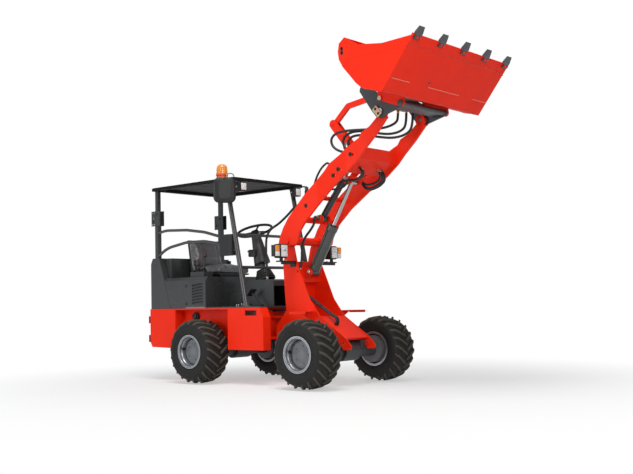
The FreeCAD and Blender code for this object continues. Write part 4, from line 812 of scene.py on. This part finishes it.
# ---- Front frame ----------------------------------------------------------------
# Two red tower plates carry the boom, and a sloping deck joins them at the nose.
# Seams are welded all round.
for side, name in SIDES:
    face = side * 0.1855
    cap_bolts = [(axle_front - 0.05, face, 0.447), (axle_front + 0.03, face, 0.447)]
    hex_bolts(f"{name}_axle_clamp_bolts", cap_bolts, (0, side, 0), 0.020, dark_bolt, "front_frame")
    weld(f"{name}_deck_seam", [(axle_front - 0.56, side * 0.172, 0.6525),
                               (axle_front - 0.165, side * 0.172, 0.6525),
                               (axle_front + 0.118, side * 0.172, 0.450)], 0.004, red_weld, "front_frame")
    weld(f"{name}_fender_seam", [(axle_front - 0.32, side * 0.187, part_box("front_fenders")[1].z),
                                 (axle_front - 0.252, side * 0.187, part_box("front_fenders")[1].z)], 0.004,
         red_weld, "front_frame")
    weld(f"{name}_boss_seam", circle(-0.505, side * 0.1865, 1.392, 0.0595, 32), 0.004, red_weld,
         "front_frame")

# ---- Headlamps ------------------------------------------------------------------
# Black moulded housings on folded brackets, with a clear lens over a bright
# reflector and an indicator on the outer side.
finish_nodes(black_plastic, "headlights")
bracket_x = axle_front - 0.47
head_x, turn_x = bracket_x + 0.026, bracket_x + 0.020
lens_low, lens_high, split = 1.235, 1.345, 1.284
for side, name in SIDES:
    y = side * 0.373
    bezel = block((head_x - 0.003, y - 0.047, lens_low - 0.006),
                  (head_x + 0.004, y + 0.047, lens_high + 0.006), 0.006)
    settle(bezel, f"{name}_headlamp_bezel", black_plastic, "front_frame")
    bowl = block((head_x + 0.003, y - 0.041, lens_low), (head_x + 0.0045, y + 0.041, lens_high), 0.0005)
    settle(bowl, f"{name}_headlamp_reflector", reflector, "front_frame")
    lens = block((head_x + 0.0045, y - 0.041, lens_low), (head_x + 0.010, y + 0.041, lens_high), 0.0035)
    settle(lens, f"{name}_headlamp_lens", lamp_lens, "front_frame")
    bulb = bar((head_x + 0.009, y, 1.29), (head_x + 0.0125, y, 1.29), 0.016, 28, 0.0015)
    settle(bulb, f"{name}_headlamp_bulb", reflector, "front_frame")
    flutes = [block((head_x + 0.0092, y - 0.038 + 0.0152 * step, lens_low + 0.003),
                    (head_x + 0.0112, y - 0.0355 + 0.0152 * step, lens_high - 0.003), 0.0006)
              for step in range(6)]
    settle(join(flutes), f"{name}_headlamp_flutes", reflector, "front_frame")
    lamp_y = sorted((y + side * 0.060, y + side * 0.113))
    half_amber = block((turn_x + 0.0002, lamp_y[0], split + 0.001),
                       (turn_x + 0.010, lamp_y[1], lens_high - 0.003), 0.004)
    half_clear = block((turn_x + 0.0002, lamp_y[0], lens_low + 0.003),
                       (turn_x + 0.010, lamp_y[1], split - 0.001), 0.004)
    settle(half_clear, f"{name}_side_lens", lamp_lens, "front_frame")
    settle(half_amber, f"{name}_indicator_lens", amber, "front_frame")
    shelf = block((axle_front - 0.505, side * 0.189, 1.184), (axle_front - 0.452, side * 0.425, 1.1965),
                  0.003)
    skirt = block((axle_front - 0.462, side * 0.189, 1.160), (axle_front - 0.452, side * 0.400, 1.192), 0.003)
    settle(join([shelf, skirt]), f"{name}_headlamp_bracket", black_plastic, "front_frame")
    hex_bolts(f"{name}_headlamp_nut", [(axle_front - 0.48, side * 0.30, 1.196)], (0, 0, 1), 0.014, plated,
              "front_frame")

# ---- Boom -----------------------------------------------------------------------
# Two thick red plate arms with lightening holes, tied by a welded box and cross
# tubes. Beads run round every joint.
finish_nodes(red_paint, "boom_pin")
flare_start, flare_run, flare_rise = -0.100, 0.400, 0.045


def arm_y(straight, x):
    """Distance of an arm's face from the middle; straight is its value behind the flare."""
    return straight + flare_rise * min(1, max(0, (x - flare_start) / flare_run))


for side, name in SIDES:
    for x, z, radius in ((-0.345, 1.590, 0.030), (-0.205, 1.798, 0.022)):
        weld(f"{name}_cross_tube_seam_{round(-x * 1000)}", circle(x, side * 0.2385, z, radius + 0.001, 24),
             0.0032, red_weld, "boom")
    # Dark discs in each arm's holes: painted shade for the dark inside of the holes.
    holes = []
    for x, z in ((0.352, 2.138), (0.193, 2.018), (0.125, 1.968), (-0.245, 1.716)):
        hole_shade = bar((0, 0, 0), (0, side * 0.0035, 0), 0.020, 40, 0.0012)
        tilt = math.atan(flare_rise / flare_run) if x > flare_start else 0
        hole_shade.data.transform(Matrix.Rotation(side * tilt, 4, "Z"))
        hole_shade.data.transform(Matrix.Translation((axle_front + x, side * (arm_y(0.265, x) - 0.0004), z)))
        holes.append(hole_shade)
    settle(join(holes), f"{name}_arm_hole_shade_discs", rubber, "boom")
box_seam = [(0.262, 1.985), (0.415, 2.100), (0.445, 2.205), (0.345, 2.195), (0.245, 2.080), (0.225, 2.010),
            (0.262, 1.985)]
for side, name in SIDES:
    seam = []
    for (x0, z0), (x1, z1) in zip(box_seam, box_seam[1:]):
        for step in range(6):
            x, z = x0 + (x1 - x0) * step / 6, z0 + (z1 - z0) * step / 6
            seam.append((axle_front + x, side * (arm_y(0.240, x) - 0.001), z))
    weld(f"{name}_cross_box_seam", seam, 0.004, red_weld, "boom")
lug_seams = []
for lug_x, lug_z, dx, dz in ((0.262, 2.112, 0.078, 0.078), (0.250, 2.010, 0.004, 0.062),
                             (-0.345, 1.618, 0.05, 0.01)):
    for y in (-0.059, -0.045, 0.045, 0.059):
        lug_seams.append([(axle_front + lug_x, y, lug_z), (axle_front + lug_x + dx, y, lug_z + dz)])
for number, run in enumerate(lug_seams):
    weld(f"lug_seam_{number}", run, 0.0028, red_weld, "boom")

# ---- Pins and greasing points ---------------------------------------------------
# Every pivot pin is bright steel with a brass grease nipple in its end.
brass = coat("brass", (0.62, 0.45, 0.16), 0.3, (24, 0.2), (260, 0.06), metallic=1.0)
for x, z, y, body in ((0.104, 2.280, 0.058, "boom"), (0.118, 1.938, 0.074, "boom"),
                      (-0.263, 1.609, 0.058, "boom"),
                      (-0.395, 1.089, 0.0815, "front_frame")):
    for side in (-1, 1):
        collar = bar((axle_front + x, side * y, z), (axle_front + x, side * (y + 0.009), z), 0.026, 32, 0.002)
        nipple = bar((axle_front + x, side * (y + 0.009), z), (axle_front + x, side * (y + 0.018), z),
                     0.005, 12, 0.0015)
        settle(collar, f"pin_collar_{round(z * 1000)}_{'left' if side > 0 else 'right'}", bare_steel, body)
        settle(nipple, f"grease_nipple_{round(z * 1000)}_{'left' if side > 0 else 'right'}", brass, body)

# ---- Cylinders ------------------------------------------------------------------
# The lift cylinder is a dark grey-green drawn tube, the tilt cylinder a black one.
# Both have a screwed gland, a hard pipe along the barrel and a chrome-plated rod.
cylinder_green = coat("cylinder_green", (0.052, 0.062, 0.055), 0.38, (6, 0.15), (240, 0.05), clear=0.2)
cylinder_black = coat("cylinder_black", (0.020, 0.020, 0.021), 0.36, (6, 0.15), (240, 0.05), clear=0.2)
chrome = coat("chrome", (0.42, 0.39, 0.375), 0.16, (30, 0.05), (400, 0.01), metallic=1.0, spread=0.03)
finish_nodes(cylinder_green, "lift_barrel")
finish_nodes(cylinder_black, "tilt_barrel")
finish_nodes(chrome, "lift_rod", "tilt_rod")


def pipe_ring(start, end, radius, wall, edge=0.0):
    """Hollow band between two points, open right through."""
    start, end = Vector(start), Vector(end)
    deselect()
    turn = (end - start).to_track_quat("Z", "Y").to_euler()
    bpy.ops.mesh.primitive_cylinder_add(vertices=56, radius=radius, depth=(end - start).length,
                                        end_fill_type="NOTHING",
                                        location=(start + end) / 2, rotation=turn)
    bake()
    bpy.ops.object.modifier_add(type="SOLIDIFY")
    shell = bpy.context.object.modifiers[-1]
    shell.thickness = wall
    shell.offset = -1
    bpy.ops.object.modifier_apply(modifier=shell.name)
    return soften(bpy.context.object, edge)


def barrel_fittings(name, foot, head, bore, length, side, paint, body):
    """Hard pipe, its two banjo unions and the wrench flats of a gland, along one barrel."""
    foot, head = Vector((axle_front + foot[0], 0, foot[1])), Vector((axle_front + head[0], 0, head[1]))
    along = (head - foot).normalized()
    out = Vector((0, side, 0))
    off = out * (bore / 2 + 0.009)
    start, end = foot + along * 0.09 + off, foot + along * (length - 0.07) + off
    pipe = bar(start, end, 0.0055, 16)
    unions = [bar(spot - out * 0.012, spot + out * 0.006, 0.011, 6, 0.001) for spot in (start, end)]
    settle(join([pipe] + unions), f"{name}_pipe", paint, body)
    clip_at = foot + along * (length * 0.55)
    strap_ring = pipe_ring(clip_at - along * 0.008, clip_at + along * 0.008, bore / 2 + 0.0025, 0.003, 0.0010)
    settle(strap_ring, f"{name}_pipe_strap", paint, body)
    ring_at = foot + along * (length - 0.052)
    notch = pipe_ring(ring_at, ring_at + along * 0.004, bore / 2 + 0.0035, 0.004, 0.0010)
    settle(notch, f"{name}_gland_ring", paint, body)
    lip_at = foot + along * length
    wiper = bar(lip_at - along * 0.0005, lip_at + along * 0.0045, bore / 2 * 0.56, 40, 0.001)
    settle(wiper, f"{name}_wiper", rubber, body)


barrel_fittings("lift", (-0.395, 1.089), (0.118, 1.938), 0.104, 0.512, -1, cylinder_green, "lift_barrel")
barrel_fittings("tilt", (-0.263, 1.609), (0.253, 2.270), 0.064, 0.455, 1, cylinder_black, "tilt_barrel")

# ---- Quick coupler --------------------------------------------------------------
# Dark grey plates on a red boom carry the bucket's hooks. A cream-painted slotted
# keeper plate holds the pivot pin on each side; brass unions feed the couplings.
coupler_grey = coat("coupler_grey", (0.042, 0.045, 0.048), 0.40, (5, 0.2), (240, 0.05), shine=0.4)
cream = coat("keeper_cream", (0.62, 0.47, 0.30), 0.5, (16, 0.18), (260, 0.1))
finish_nodes(coupler_grey, "hitch_frame")
finish_nodes(bare_steel, "hitch_pins")
keeper_x, keeper_z = axle_front + 0.728 - 0.022, 2.475 + 0.003
for side, name in SIDES:
    face = side * 0.336
    keeper = block((-0.050, 0, -0.030), (0.050, side * 0.007, 0.030), 0.003)
    keeper.data.transform(Matrix.Rotation(math.radians(50), 4, "Y"))
    keeper.data.transform(Matrix.Translation((keeper_x, face + side * 0.0142, keeper_z)))
    settle(keeper, f"{name}_pin_keeper", cream, "bucket")
    # Dark discs on each keeper plate: painted shade in its two holes.
    spots = [Vector((keeper_x + 0.016 * turn, face + side * 0.0208, keeper_z - 0.022 * turn))
             for turn in (-1, 1)]
    dots = [bar(spot, spot + Vector((0, side * 0.002, 0)), 0.0125, 28, 0.0006) for spot in spots]
    settle(join(dots), f"{name}_keeper_hole_shade", rubber, "bucket")
    knob = bar((axle_front + 0.968, side * 0.3555, 2.515), (axle_front + 0.968, side * 0.364, 2.515), 0.030,
               40, 0.003)
    settle(knob, f"{name}_hook_pin_knob", coupler_grey, "bucket")
    weld(f"{name}_coupler_tube_seam", circle(0.622, side * 0.3185, 2.652, 0.026, 24), 0.003, coupler_grey,
         "bucket")
valve_low = 2.570
for number, (x, y) in enumerate(((0.592, 0.120), (0.655, 0.165), (0.698, 0.208))):
    union = join([bar((axle_front + x, y, valve_low - 0.004), (axle_front + x, y, valve_low + 0.0005),
                      0.0155, 6, 0.001),
                  bar((axle_front + x + 0.02, y - 0.01, valve_low + 0.03),
                      (axle_front + x + 0.02, y - 0.01, valve_low + 0.031), 0.004, 12)])
    settle(union, f"coupler_union_{number}", brass, "bucket")
plugs = []


def fitting(place, way, nut, cap, sides, edge):
    """Hexagon nut and a round cap on it; nut and cap are each (length, radius)."""
    start, way = Vector(place), Vector(way)
    middle = start + way * nut[0]
    return [bar(start, middle, nut[1], 6, edge), bar(middle, middle + way * cap[0], cap[1], sides, edge)]


for y in (0.118, 0.150, 0.182, 0.214):
    plugs += fitting((axle_front + 0.7225, y, 2.606), (1, 0, 0), (0.0155, 0.0115), (0.010, 0.008), 20, 0.0015)
settle(join(plugs), "coupler_plugs", brass, "bucket")

# ---- Bucket ---------------------------------------------------------------------
# Red shell of bent plate with a bolted toothed edge, and beads close every seam. The
# light stitch beads on the underside carry a painted highlight.
bucket_red = coat("bucket_red", (0.83, 0.021, 0.003), 0.44, (3.0, 0.12), (220, 0.04), shine=0.14)
finish_nodes(bucket_red, "bucket")
tooth_grey = coat("tooth_grey", (0.075, 0.080, 0.086), 0.42, (14, 0.3), (220, 0.12), metallic=0.4)
finish_nodes(tooth_grey, "bucket_teeth")
heel, lip = Vector((1.072, 0, 2.536)), Vector((1.412, 0, 2.961))
floor_way = (lip - heel).normalized()
floor_out = Vector((floor_way.z, 0, -floor_way.x))


def on_floor(reach, depth, y):
    """Point on the bucket's underside: reach ahead of the heel, depth below the sheet."""
    spot = heel + floor_way * reach + floor_out * depth
    return Vector((axle_front + spot.x, y, spot.z))


half_width, bucket_top = 0.760, 3.074
tooth_reach = half_width - 0.060
heads = []
for tooth in range(5):
    y = -tooth_reach + 2 * tooth_reach * tooth / 4
    for turn in (-0.018, 0.018):
        heads.append(on_floor(0.528, 0.0162, y + turn))
hex_bolts("tooth_bolts", heads, floor_out, 0.019, red_weld, "bucket")
for number, reach in enumerate((0.450, 0.012)):
    run = [on_floor(reach, 0.001, -half_width + 0.01 + (2 * half_width - 0.02) * step / 60)
           for step in range(61)]
    weld(f"floor_seam_{number}", run, 0.0032, coat(f"floor_bead_{number}", (0.66, 0.034, 0.016), 0.45,
                                                   (30, 0.18), (420, 0.35)),
         "bucket")
outline = ((0.680, 3.074), (0.621, 3.030), (0.607, 2.960), (0.617, 2.890), (0.660, 2.815), (0.733, 2.732),
           (0.795, 2.660), (0.856, 2.606), (0.920, 2.580), (0.993, 2.563), (1.072, 2.536))
for side, name in SIDES:
    weld(f"{name}_side_seam", [(axle_front + x, side * (half_width - 0.003), min(z, bucket_top - 0.0035))
                               for x, z in outline], 0.0028, red_weld, "bucket")
    run = [(0.716, 2.742), (0.760, 2.692), (0.800, 2.658), (0.856, 2.606), (0.930, 2.577), (0.995, 2.560)]
    for offset in (-0.0005, 0.016):
        weld(f"{name}_ear_seam_{'out' if offset > 0 else 'in'}",
             [(axle_front + x + 0.002, side * (0.3362 + offset), z - 0.002) for x, z in run], 0.0035,
             red_weld, "bucket")
    cap = bar((axle_front + 0.745, side * 0.3595, 2.590), (axle_front + 0.745, side * 0.370, 2.590), 0.021,
              36, 0.003)
    settle(cap, f"{name}_lock_pin_cap", cream, "bucket")

# Stitch beads on the underside: their light colour is a painted highlight.
weld_painted_highlight = coat("weld_painted_highlight", (0.85, 0.28, 0.18), 0.3, (40, 0.3), (400, 0.2))
for number, (y0, y1) in enumerate(((-0.73, -0.48), (-0.20, 0.29), (0.52, 0.74))):
    weld(f"floor_stitch_{number}", [on_floor(0.137, 0.0005, y0 + (y1 - y0) * step / 20)
                                    for step in range(21)], 0.0028,
         weld_painted_highlight, "bucket")
# Dark red line along each side fold: painted shade on the fold.
fold_painted_shade = coat("fold_painted_shade", (0.42, 0.012, 0.003), 0.5, (20, 0.2), (300, 0.1), shine=0.15)
# Dark disc on the underside: painted shade in a hole in the floor plate.
hole_shade_at = on_floor(0.176, 0, -0.22)
hole_shade_way = Vector((floor_out.x, 0, floor_out.z))
settle(bar(hole_shade_at - hole_shade_way * 0.001, hole_shade_at + hole_shade_way * 0.0015, 0.013, 28, 0.0005),
       "floor_hole_shade_disc", dark_bolt, "bucket")
for side, name in SIDES:
    fold = [(axle_front + 0.668 + 0.684 * step / 30, side * (half_width - 0.0021), 2.873)
            for step in range(31)]
    weld(f"{name}_side_fold", fold, 0.0024, fold_painted_shade, "bucket")
    # Dark slot shape on each side plate: painted shade in the lifting slot.
    slot_ends = [(axle_front + 0.650, side * (half_width - 0.004), z) for z in (2.935, 2.985)]
    slot = [bar(spot, (spot[0], side * (half_width + 0.0003), spot[2]), 0.014, 28, 0.0004)
            for spot in slot_ends]
    slot.append(block((axle_front + 0.636, side * (half_width - 0.004), 2.935),
                      (axle_front + 0.664, side * (half_width + 0.0003), 2.985), 0))
    settle(join(slot), f"{name}_lifting_slot_shade", dark_bolt, "bucket")

# ---- Hoses ----------------------------------------------------------------------
# Black rubber hoses with crimped and plated ends. Runs that cross a joint are made
# slack and are not attached to either body.
hose_radius = 0.012
touch = 0.0003
hose_rubber = coat("hose_rubber", (0.009, 0.009, 0.010), 0.42, (20, 0.2), (700, 0.12))
finish_nodes(hose_rubber, "boom_hoses", "tower_hoses")


def hose(points, radius=hose_radius):
    """Round hose through the given points, eased at each one."""
    deselect()
    bpy.ops.curve.primitive_nurbs_path_add()
    line = bpy.context.object
    line.data.splines.clear()
    run = line.data.splines.new("NURBS")
    run.points.add(len(points) - 1)
    for spot, (x, y, z) in zip(run.points, points):
        spot.co = (axle_front + x, y, z, 1)
    run.order_u = 3
    run.use_endpoint_u = True
    run.resolution_u = 10
    line.data.bevel_depth = radius
    line.data.bevel_resolution = 4
    line.data.use_fill_caps = True
    bpy.ops.object.convert(target="MESH")
    bpy.ops.object.shade_smooth()
    return bpy.context.object


def slack(name, runs):
    """Hoses that are left free between two bodies, attached to neither."""
    lines = join([hose(run) for run in runs])
    lines.name = lines.data.name = name
    lines.data.materials.clear()
    lines.data.materials.append(hose_rubber)
    return lines


def ferrule(start, towards, length=0.030, radius=0.0128):
    """Crimped sleeve and nut at one end of a hose."""
    start, towards = Vector(start), Vector(towards)
    start.x += axle_front
    towards.x += axle_front
    along = (towards - start).normalized()
    nut = bar(start, start + along * 0.010, radius * 1.12, 6, 0.0012)
    sleeve = bar(start + along * 0.010, start + along * length, radius, 24, 0.0012)
    return join([nut, sleeve])


def port(x, z, y, normal, length):
    """First two points of a hose that leaves a face of the cross box squarely."""
    return [(x + normal[0] * reach, y, z + normal[1] * reach) for reach in (touch, length)]


cross_back, cross_front = (-0.755, 0.656), (0.601, -0.799)
coupler_runs = [
    port(0.300, 2.1433, -0.139, cross_back, 0.050) + [
        (0.120, -0.139, 2.200), (0.010, -0.139, 2.255), (-0.025, -0.139, 2.335), (0.030, -0.139, 2.390),
        (0.150, -0.139, 2.402), (0.300, -0.128, 2.392), (0.420, -0.088, 2.386), (0.520, 0.012, 2.398),
        (0.584, 0.108, 2.450), (0.592, 0.120, 2.515), (0.592, 0.120, valve_low - touch)],
    port(0.300, 2.1433, -0.112, cross_back, 0.050) + [
        (0.165, -0.112, 2.215), (0.105, -0.112, 2.280), (0.118, -0.112, 2.350), (0.200, -0.105, 2.388),
        (0.320, -0.075, 2.388), (0.420, 0, 2.362), (0.520, 0.080, 2.345), (0.610, 0.140, 2.370),
        (0.655, 0.165, 2.430), (0.655, 0.165, valve_low - touch)],
    port(0.300, 2.1433, -0.085, cross_back, 0.045) + [
        (0.190, -0.085, 2.215), (0.142, -0.085, 2.275), (0.158, -0.085, 2.330), (0.225, -0.078, 2.356),
        (0.330, -0.045, 2.350), (0.430, 0.030, 2.326), (0.530, 0.115, 2.312), (0.630, 0.182, 2.338),
        (0.698, 0.208, 2.405), (0.698, 0.208, valve_low - touch)]]
lines = slack("coupler_lines", coupler_runs)
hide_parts("coupler_hoses")
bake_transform(lines)
settle(join([ferrule(run[0], run[1]) for run in coupler_runs]), "coupler_ferrules_back", plated, "boom")
settle(join([ferrule(run[-1], run[-2]) for run in coupler_runs]), "coupler_ferrules_front", brass, "bucket")

loop_runs = [
    port(0.330, 2.0361, -0.123, cross_front, 0.050) + [
        (0.350, -0.127, 1.946), (0.283, -0.141, 1.920), (0.198, -0.161, 1.928), (0.098, -0.181, 1.913),
        (0, -0.198, 1.858), (-0.100, -0.2017, 1.770), (-0.190, -0.2017, 1.733), (-0.270, -0.2055, 1.690),
        (-0.345, -0.214, 1.654), (-0.412, -0.2270, 1.592), (-0.440, -0.2275, 1.535)],
    port(0.330, 2.0361, 0.158, cross_front, 0.050) + [
        (0.372, 0.157, 1.936), (0.322, 0.134, 1.886), (0.250, 0.103, 1.858), (0.192, 0.094, 1.880),
        (0.166, 0.095, 1.925), (0.152, 0.095, 1.945)],
    port(0.330, 2.0361, 0.131, cross_front, 0.045) + [
        (0.362, 0.130, 1.950), (0.318, 0.112, 1.912), (0.262, 0.090, 1.895), (0.205, 0.084, 1.905),
        (0.170, 0.086, 1.935), (0.152, 0.090, 1.945)]]
settle(join([hose(run, 0.0115) for run in loop_runs]), "boom_loops", hose_rubber, "boom")
settle(join([ferrule(run[0], run[1]) for run in loop_runs]), "boom_loop_ferrules", plated, "boom")

lift_runs = [
    [(-0.640, -0.130, 1.640), (-0.560, -0.163, 1.6681), (-0.480, -0.195, 1.705), (-0.410, -0.215, 1.735),
     (-0.330, -0.226, 1.722), (-0.262, -0.226, 1.752)],
    [(-0.4577, -0.150, 1.126), (-0.428, -0.150, 1.126), (-0.415, -0.150, 1.210), (-0.412, -0.146, 1.330),
     (-0.385, -0.136, 1.420), (-0.320, -0.120, 1.490), (-0.268, -0.114, 1.560), (-0.290, -0.098, 1.620),
     (-0.290, -0.0583, 1.620)]]
lines = slack("lift_lines", lift_runs)
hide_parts("lift_hoses")
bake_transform(lines)
settle(ferrule(lift_runs[1][0], lift_runs[1][1]), "lift_ferrule_low", plated, "front_frame")
settle(ferrule(lift_runs[1][-1], lift_runs[1][-2]), "lift_ferrule_high", plated, "boom")

pivot_front = joint_at["articulation"].x - axle_front
console_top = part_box("front_console")[1].z
column_run = [(-0.950, -0.084, console_top + touch), (-0.950, -0.084, 1.120), (-0.962, -0.084, 1.250),
              (-0.962, -0.084, 1.380),
              (-0.954, -0.082, 1.465), (-0.912, -0.070, 1.540), (-0.820, -0.060, 1.580),
              (-0.725, -0.095, 1.610), (-0.6402, -0.130, 1.6398)]
low_back = -0.560 - touch
steer_back = pivot_front - 0.170 + touch
low_runs = [[(steer_back, y, 0.714), (steer_back + 0.045, y, 0.714), (-0.730, y * 1.12, 0.720),
             (low_back - 0.045, y, 0.726),
             (low_back, y, 0.726)] for y in (-0.090, 0.090)]
lines = slack("steering_lines", [column_run] + low_runs)
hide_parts("steering_hoses")
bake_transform(lines)
settle(join([ferrule(run[0], run[1]) for run in [column_run] + low_runs]), "steering_ferrules_back", plated,
       "rear_frame")
settle(join([ferrule(run[-1], run[-2]) for run in low_runs]), "steering_ferrules_front", plated,
       "front_frame")

# ---- Steering valve bank --------------------------------------------------------
# A black cast valve on each side of the pivot, bolted to the rear bulkhead, with
# plated unions and short looped hoses.
valve_face = axle_front - 0.798
for side, name in SIDES:
    low, high = sorted((side * 0.392, side * 0.235))
    valve = [block((axle_front - 0.898, low, 0.598), (axle_front - 0.797, high, 0.742), 0.006),
             block((axle_front - 0.888, low + 0.02, 0.742), (axle_front - 0.815, high - 0.02, 0.7485), 0.003),
             bar((valve_face, side * 0.372, 0.622), (valve_face + 0.022, side * 0.372, 0.622),
                 0.020, 32, 0.004)]
    settle(join(valve), f"{name}_valve_block", black_plastic, "rear_frame")
    unions, loops = [], []
    for y, z in ((0.270, 0.718), (0.312, 0.710), (0.354, 0.718), (0.290, 0.662), (0.336, 0.655)):
        unions += fitting((valve_face, side * y, z), (1, 0, 0), (0.012, 0.0155), (0.008, 0.0125), 24, 0.0015)
        loops.append(hose([(-0.780, side * y, z), (-0.766, side * y, z),
                           (-0.757, side * (y + 0.003), z - 0.022),
                           (-0.766, side * (y + 0.006), z - 0.055), (-0.784, side * (y + 0.006), 0.600),
                           (-0.850, side * (y + 0.006), 0.578), (-0.900, side * (y + 0.006), 0.575)], 0.0100))
    settle(join(unions), f"{name}_valve_unions", plated, "rear_frame")
    settle(join(loops), f"{name}_valve_hoses", hose_rubber, "rear_frame")

# ---- Manifold by the step -------------------------------------------------------
# A low black manifold lies on each side box beside the pivot, with plated unions
# for the attachment lines and a latch for the folding front post.
port_rows = (-0.965, -0.935, -0.905, -0.875)
base_rise, latch_rise = 0.025, 0.012
for side, name in SIDES:
    low, high = sorted((side * 0.455, side * 0.345))
    base = [block((axle_front - 0.985, low, boxes_high.z + touch),
                  (axle_front - 0.860, high, boxes_high.z + base_rise + 0.001), 0.004),
            block((axle_front - 1.075, low, boxes_high.z + touch),
                  (axle_front - 1.000, high, boxes_high.z + latch_rise + 0.001), 0.003)]
    for x in port_rows:
        spot = Vector((axle_front + x, side * 0.400, boxes_high.z + base_rise))
        base.append(bar(spot, spot + Vector((0, 0, 0.015)), 0.0125, 6, 0.001))
    settle(join(base), f"{name}_manifold", black_plastic, "rear_frame")
    caps = []
    for x, y, rise in ([(x, 0.437, base_rise) for x in port_rows]
                       + [(x, 0.425, latch_rise) for x in (-1.050, -1.022)]):
        spot = (axle_front + x, side * y, boxes_high.z + rise)
        caps += fitting(spot, (0, 0, 1), (0.010, 0.0085), (0.012, 0.0065), 20, 0.001)
    settle(join(caps), f"{name}_manifold_unions", plated, "rear_frame")

# ---- Floor, light and view ------------------------------------------------------
# A pale concrete-grey studio floor and backdrop, under a broad high light with a
# warmer one from the front right and a weak fill from low down.


def combine(shaded, operation, first, second):
    """Math node on two outputs of a material's or a world's nodes."""
    made = shaded.node_tree.nodes.new("ShaderNodeMath")
    made.operation = operation
    shaded.node_tree.links.new(first, made.inputs[0])
    shaded.node_tree.links.new(second, made.inputs[1])
    return made.outputs["Value"]


floor_colour = coat("studio_floor", (0.80, 0.80, 0.80), 0.8, (1.2, 0.03), (60, 0.03))
floor_nodes, floor_links = floor_colour.node_tree.nodes, floor_colour.node_tree.links
floor_out_socket = floor_nodes["Material Output"].inputs["Surface"]
glow = floor_nodes.new("ShaderNodeEmission")
glow.inputs["Color"].default_value = (1, 1, 1, 1)
glow.inputs["Strength"].default_value = 1.0
spot_at = floor_nodes.new("ShaderNodeTexCoord")
far = floor_nodes.new("ShaderNodeVectorMath")
far.operation = "LENGTH"
floor_links.new(spot_at.outputs["Object"], far.inputs[0])
fade = floor_nodes.new("ShaderNodeMapRange")
fade.interpolation_type = "SMOOTHSTEP"
fade.inputs["From Min"].default_value = 1.6
fade.inputs["From Max"].default_value = 4.5
fade.inputs["To Min"].default_value = 0.45
floor_links.new(far.outputs["Value"], fade.inputs["Value"])
ray = floor_nodes.new("ShaderNodeLightPath")
either = combine(floor_colour, "MAXIMUM", ray.outputs["Is Camera Ray"], ray.outputs["Is Glossy Ray"])
any_ray = combine(floor_colour, "MAXIMUM", either, ray.outputs["Is Transmission Ray"])
share = combine(floor_colour, "MULTIPLY", any_ray, fade.outputs["Result"])
blend_in = floor_nodes.new("ShaderNodeMixShader")
floor_links.new(share, blend_in.inputs["Fac"])
floor_links.new(floor_nodes["Principled BSDF"].outputs["BSDF"], blend_in.inputs[1])
floor_links.new(glow.outputs["Emission"], blend_in.inputs[2])
floor_links.new(blend_in.outputs["Shader"], floor_out_socket)
deselect()
bpy.ops.mesh.primitive_plane_add(size=60, location=(0, 0, -0.0005))
studio_floor = bpy.context.object
studio_floor.name = "studio_floor"
studio_floor.data.materials.append(floor_colour)

world = bpy.context.scene.world or bpy.data.worlds.new("studio")
bpy.context.scene.world = world
world.use_nodes = True
sky_nodes, sky_links = world.node_tree.nodes, world.node_tree.links
surface = sky_nodes["World Output"].inputs["Surface"]
for link in list(surface.links):
    sky_links.remove(link)
sky_glow = sky_nodes["Background"]
sky_glow.inputs["Color"].default_value = (0.90, 0.95, 1.0, 1)
sky_glow.inputs["Strength"].default_value = 0.42
backdrop = sky_nodes.new("ShaderNodeBackground")
backdrop.inputs["Color"].default_value = (1, 1, 1, 1)
backdrop.inputs["Strength"].default_value = 1.0
seen = sky_nodes.new("ShaderNodeLightPath")
mix = sky_nodes.new("ShaderNodeMixShader")
shown = combine(world, "MAXIMUM", seen.outputs["Is Camera Ray"], seen.outputs["Is Transmission Ray"])
sky_links.new(shown, mix.inputs["Fac"])
sky_links.new(sky_glow.outputs["Background"], mix.inputs[1])
sky_links.new(backdrop.outputs["Background"], mix.inputs[2])
sky_links.new(mix.outputs["Shader"], surface)


def lamp(name, place, target, energy, size, colour):
    deselect()
    way = Vector(target) - Vector(place)
    bpy.ops.object.light_add(type="AREA", location=place, rotation=way.to_track_quat("-Z", "Y").to_euler())
    light = bpy.context.object
    light.name = name
    light.data.energy = energy
    light.data.size = size
    light.data.color = colour
    return light


lamp("high_light", (1.5, -2.5, 8.0), (0, 0, 1), 430, 4.0, (1.0, 0.98, 0.95))
lamp("front_light", (7.5, -5.0, 4.0), (0.3, 0, 1.3), 210, 3.0, (1.0, 0.97, 0.93))
lamp("side_fill", (-3.0, -7.0, 2.0), (-0.5, 0, 0.8), 110, 3.0, (0.92, 0.96, 1.0))

view_turn, view_pitch, view_roll = math.radians(41.2), math.radians(3.8), math.radians(-1.2)
ahead = Vector((-math.sin(view_turn) * math.cos(view_pitch), math.cos(view_turn) * math.cos(view_pitch),
                math.sin(view_pitch)))
level = Vector((math.cos(view_turn), math.sin(view_turn), 0))
upright = level.cross(ahead)
right = math.cos(view_roll) * level + math.sin(view_roll) * upright
up = -math.sin(view_roll) * level + math.cos(view_roll) * upright
eye_x, eye_y, eye_z = 6.2627, -7.0687, 0.8063
focal_pixels, photo_width, sensor = 956.6, 633, 36.0
camera = bpy.data.objects.new("view", bpy.data.cameras.new("view"))
bpy.context.collection.objects.link(camera)
camera.matrix_world = Matrix(((right.x, up.x, -ahead.x, eye_x), (right.y, up.y, -ahead.y, eye_y),
                              (right.z, up.z, -ahead.z, eye_z), (0, 0, 0, 1)))
camera.data.sensor_width = sensor
camera.data.lens = sensor * focal_pixels / photo_width
camera.data.clip_end = 100
bpy.context.scene.camera = camera
bpy.context.scene.view_settings.view_transform = "Standard"
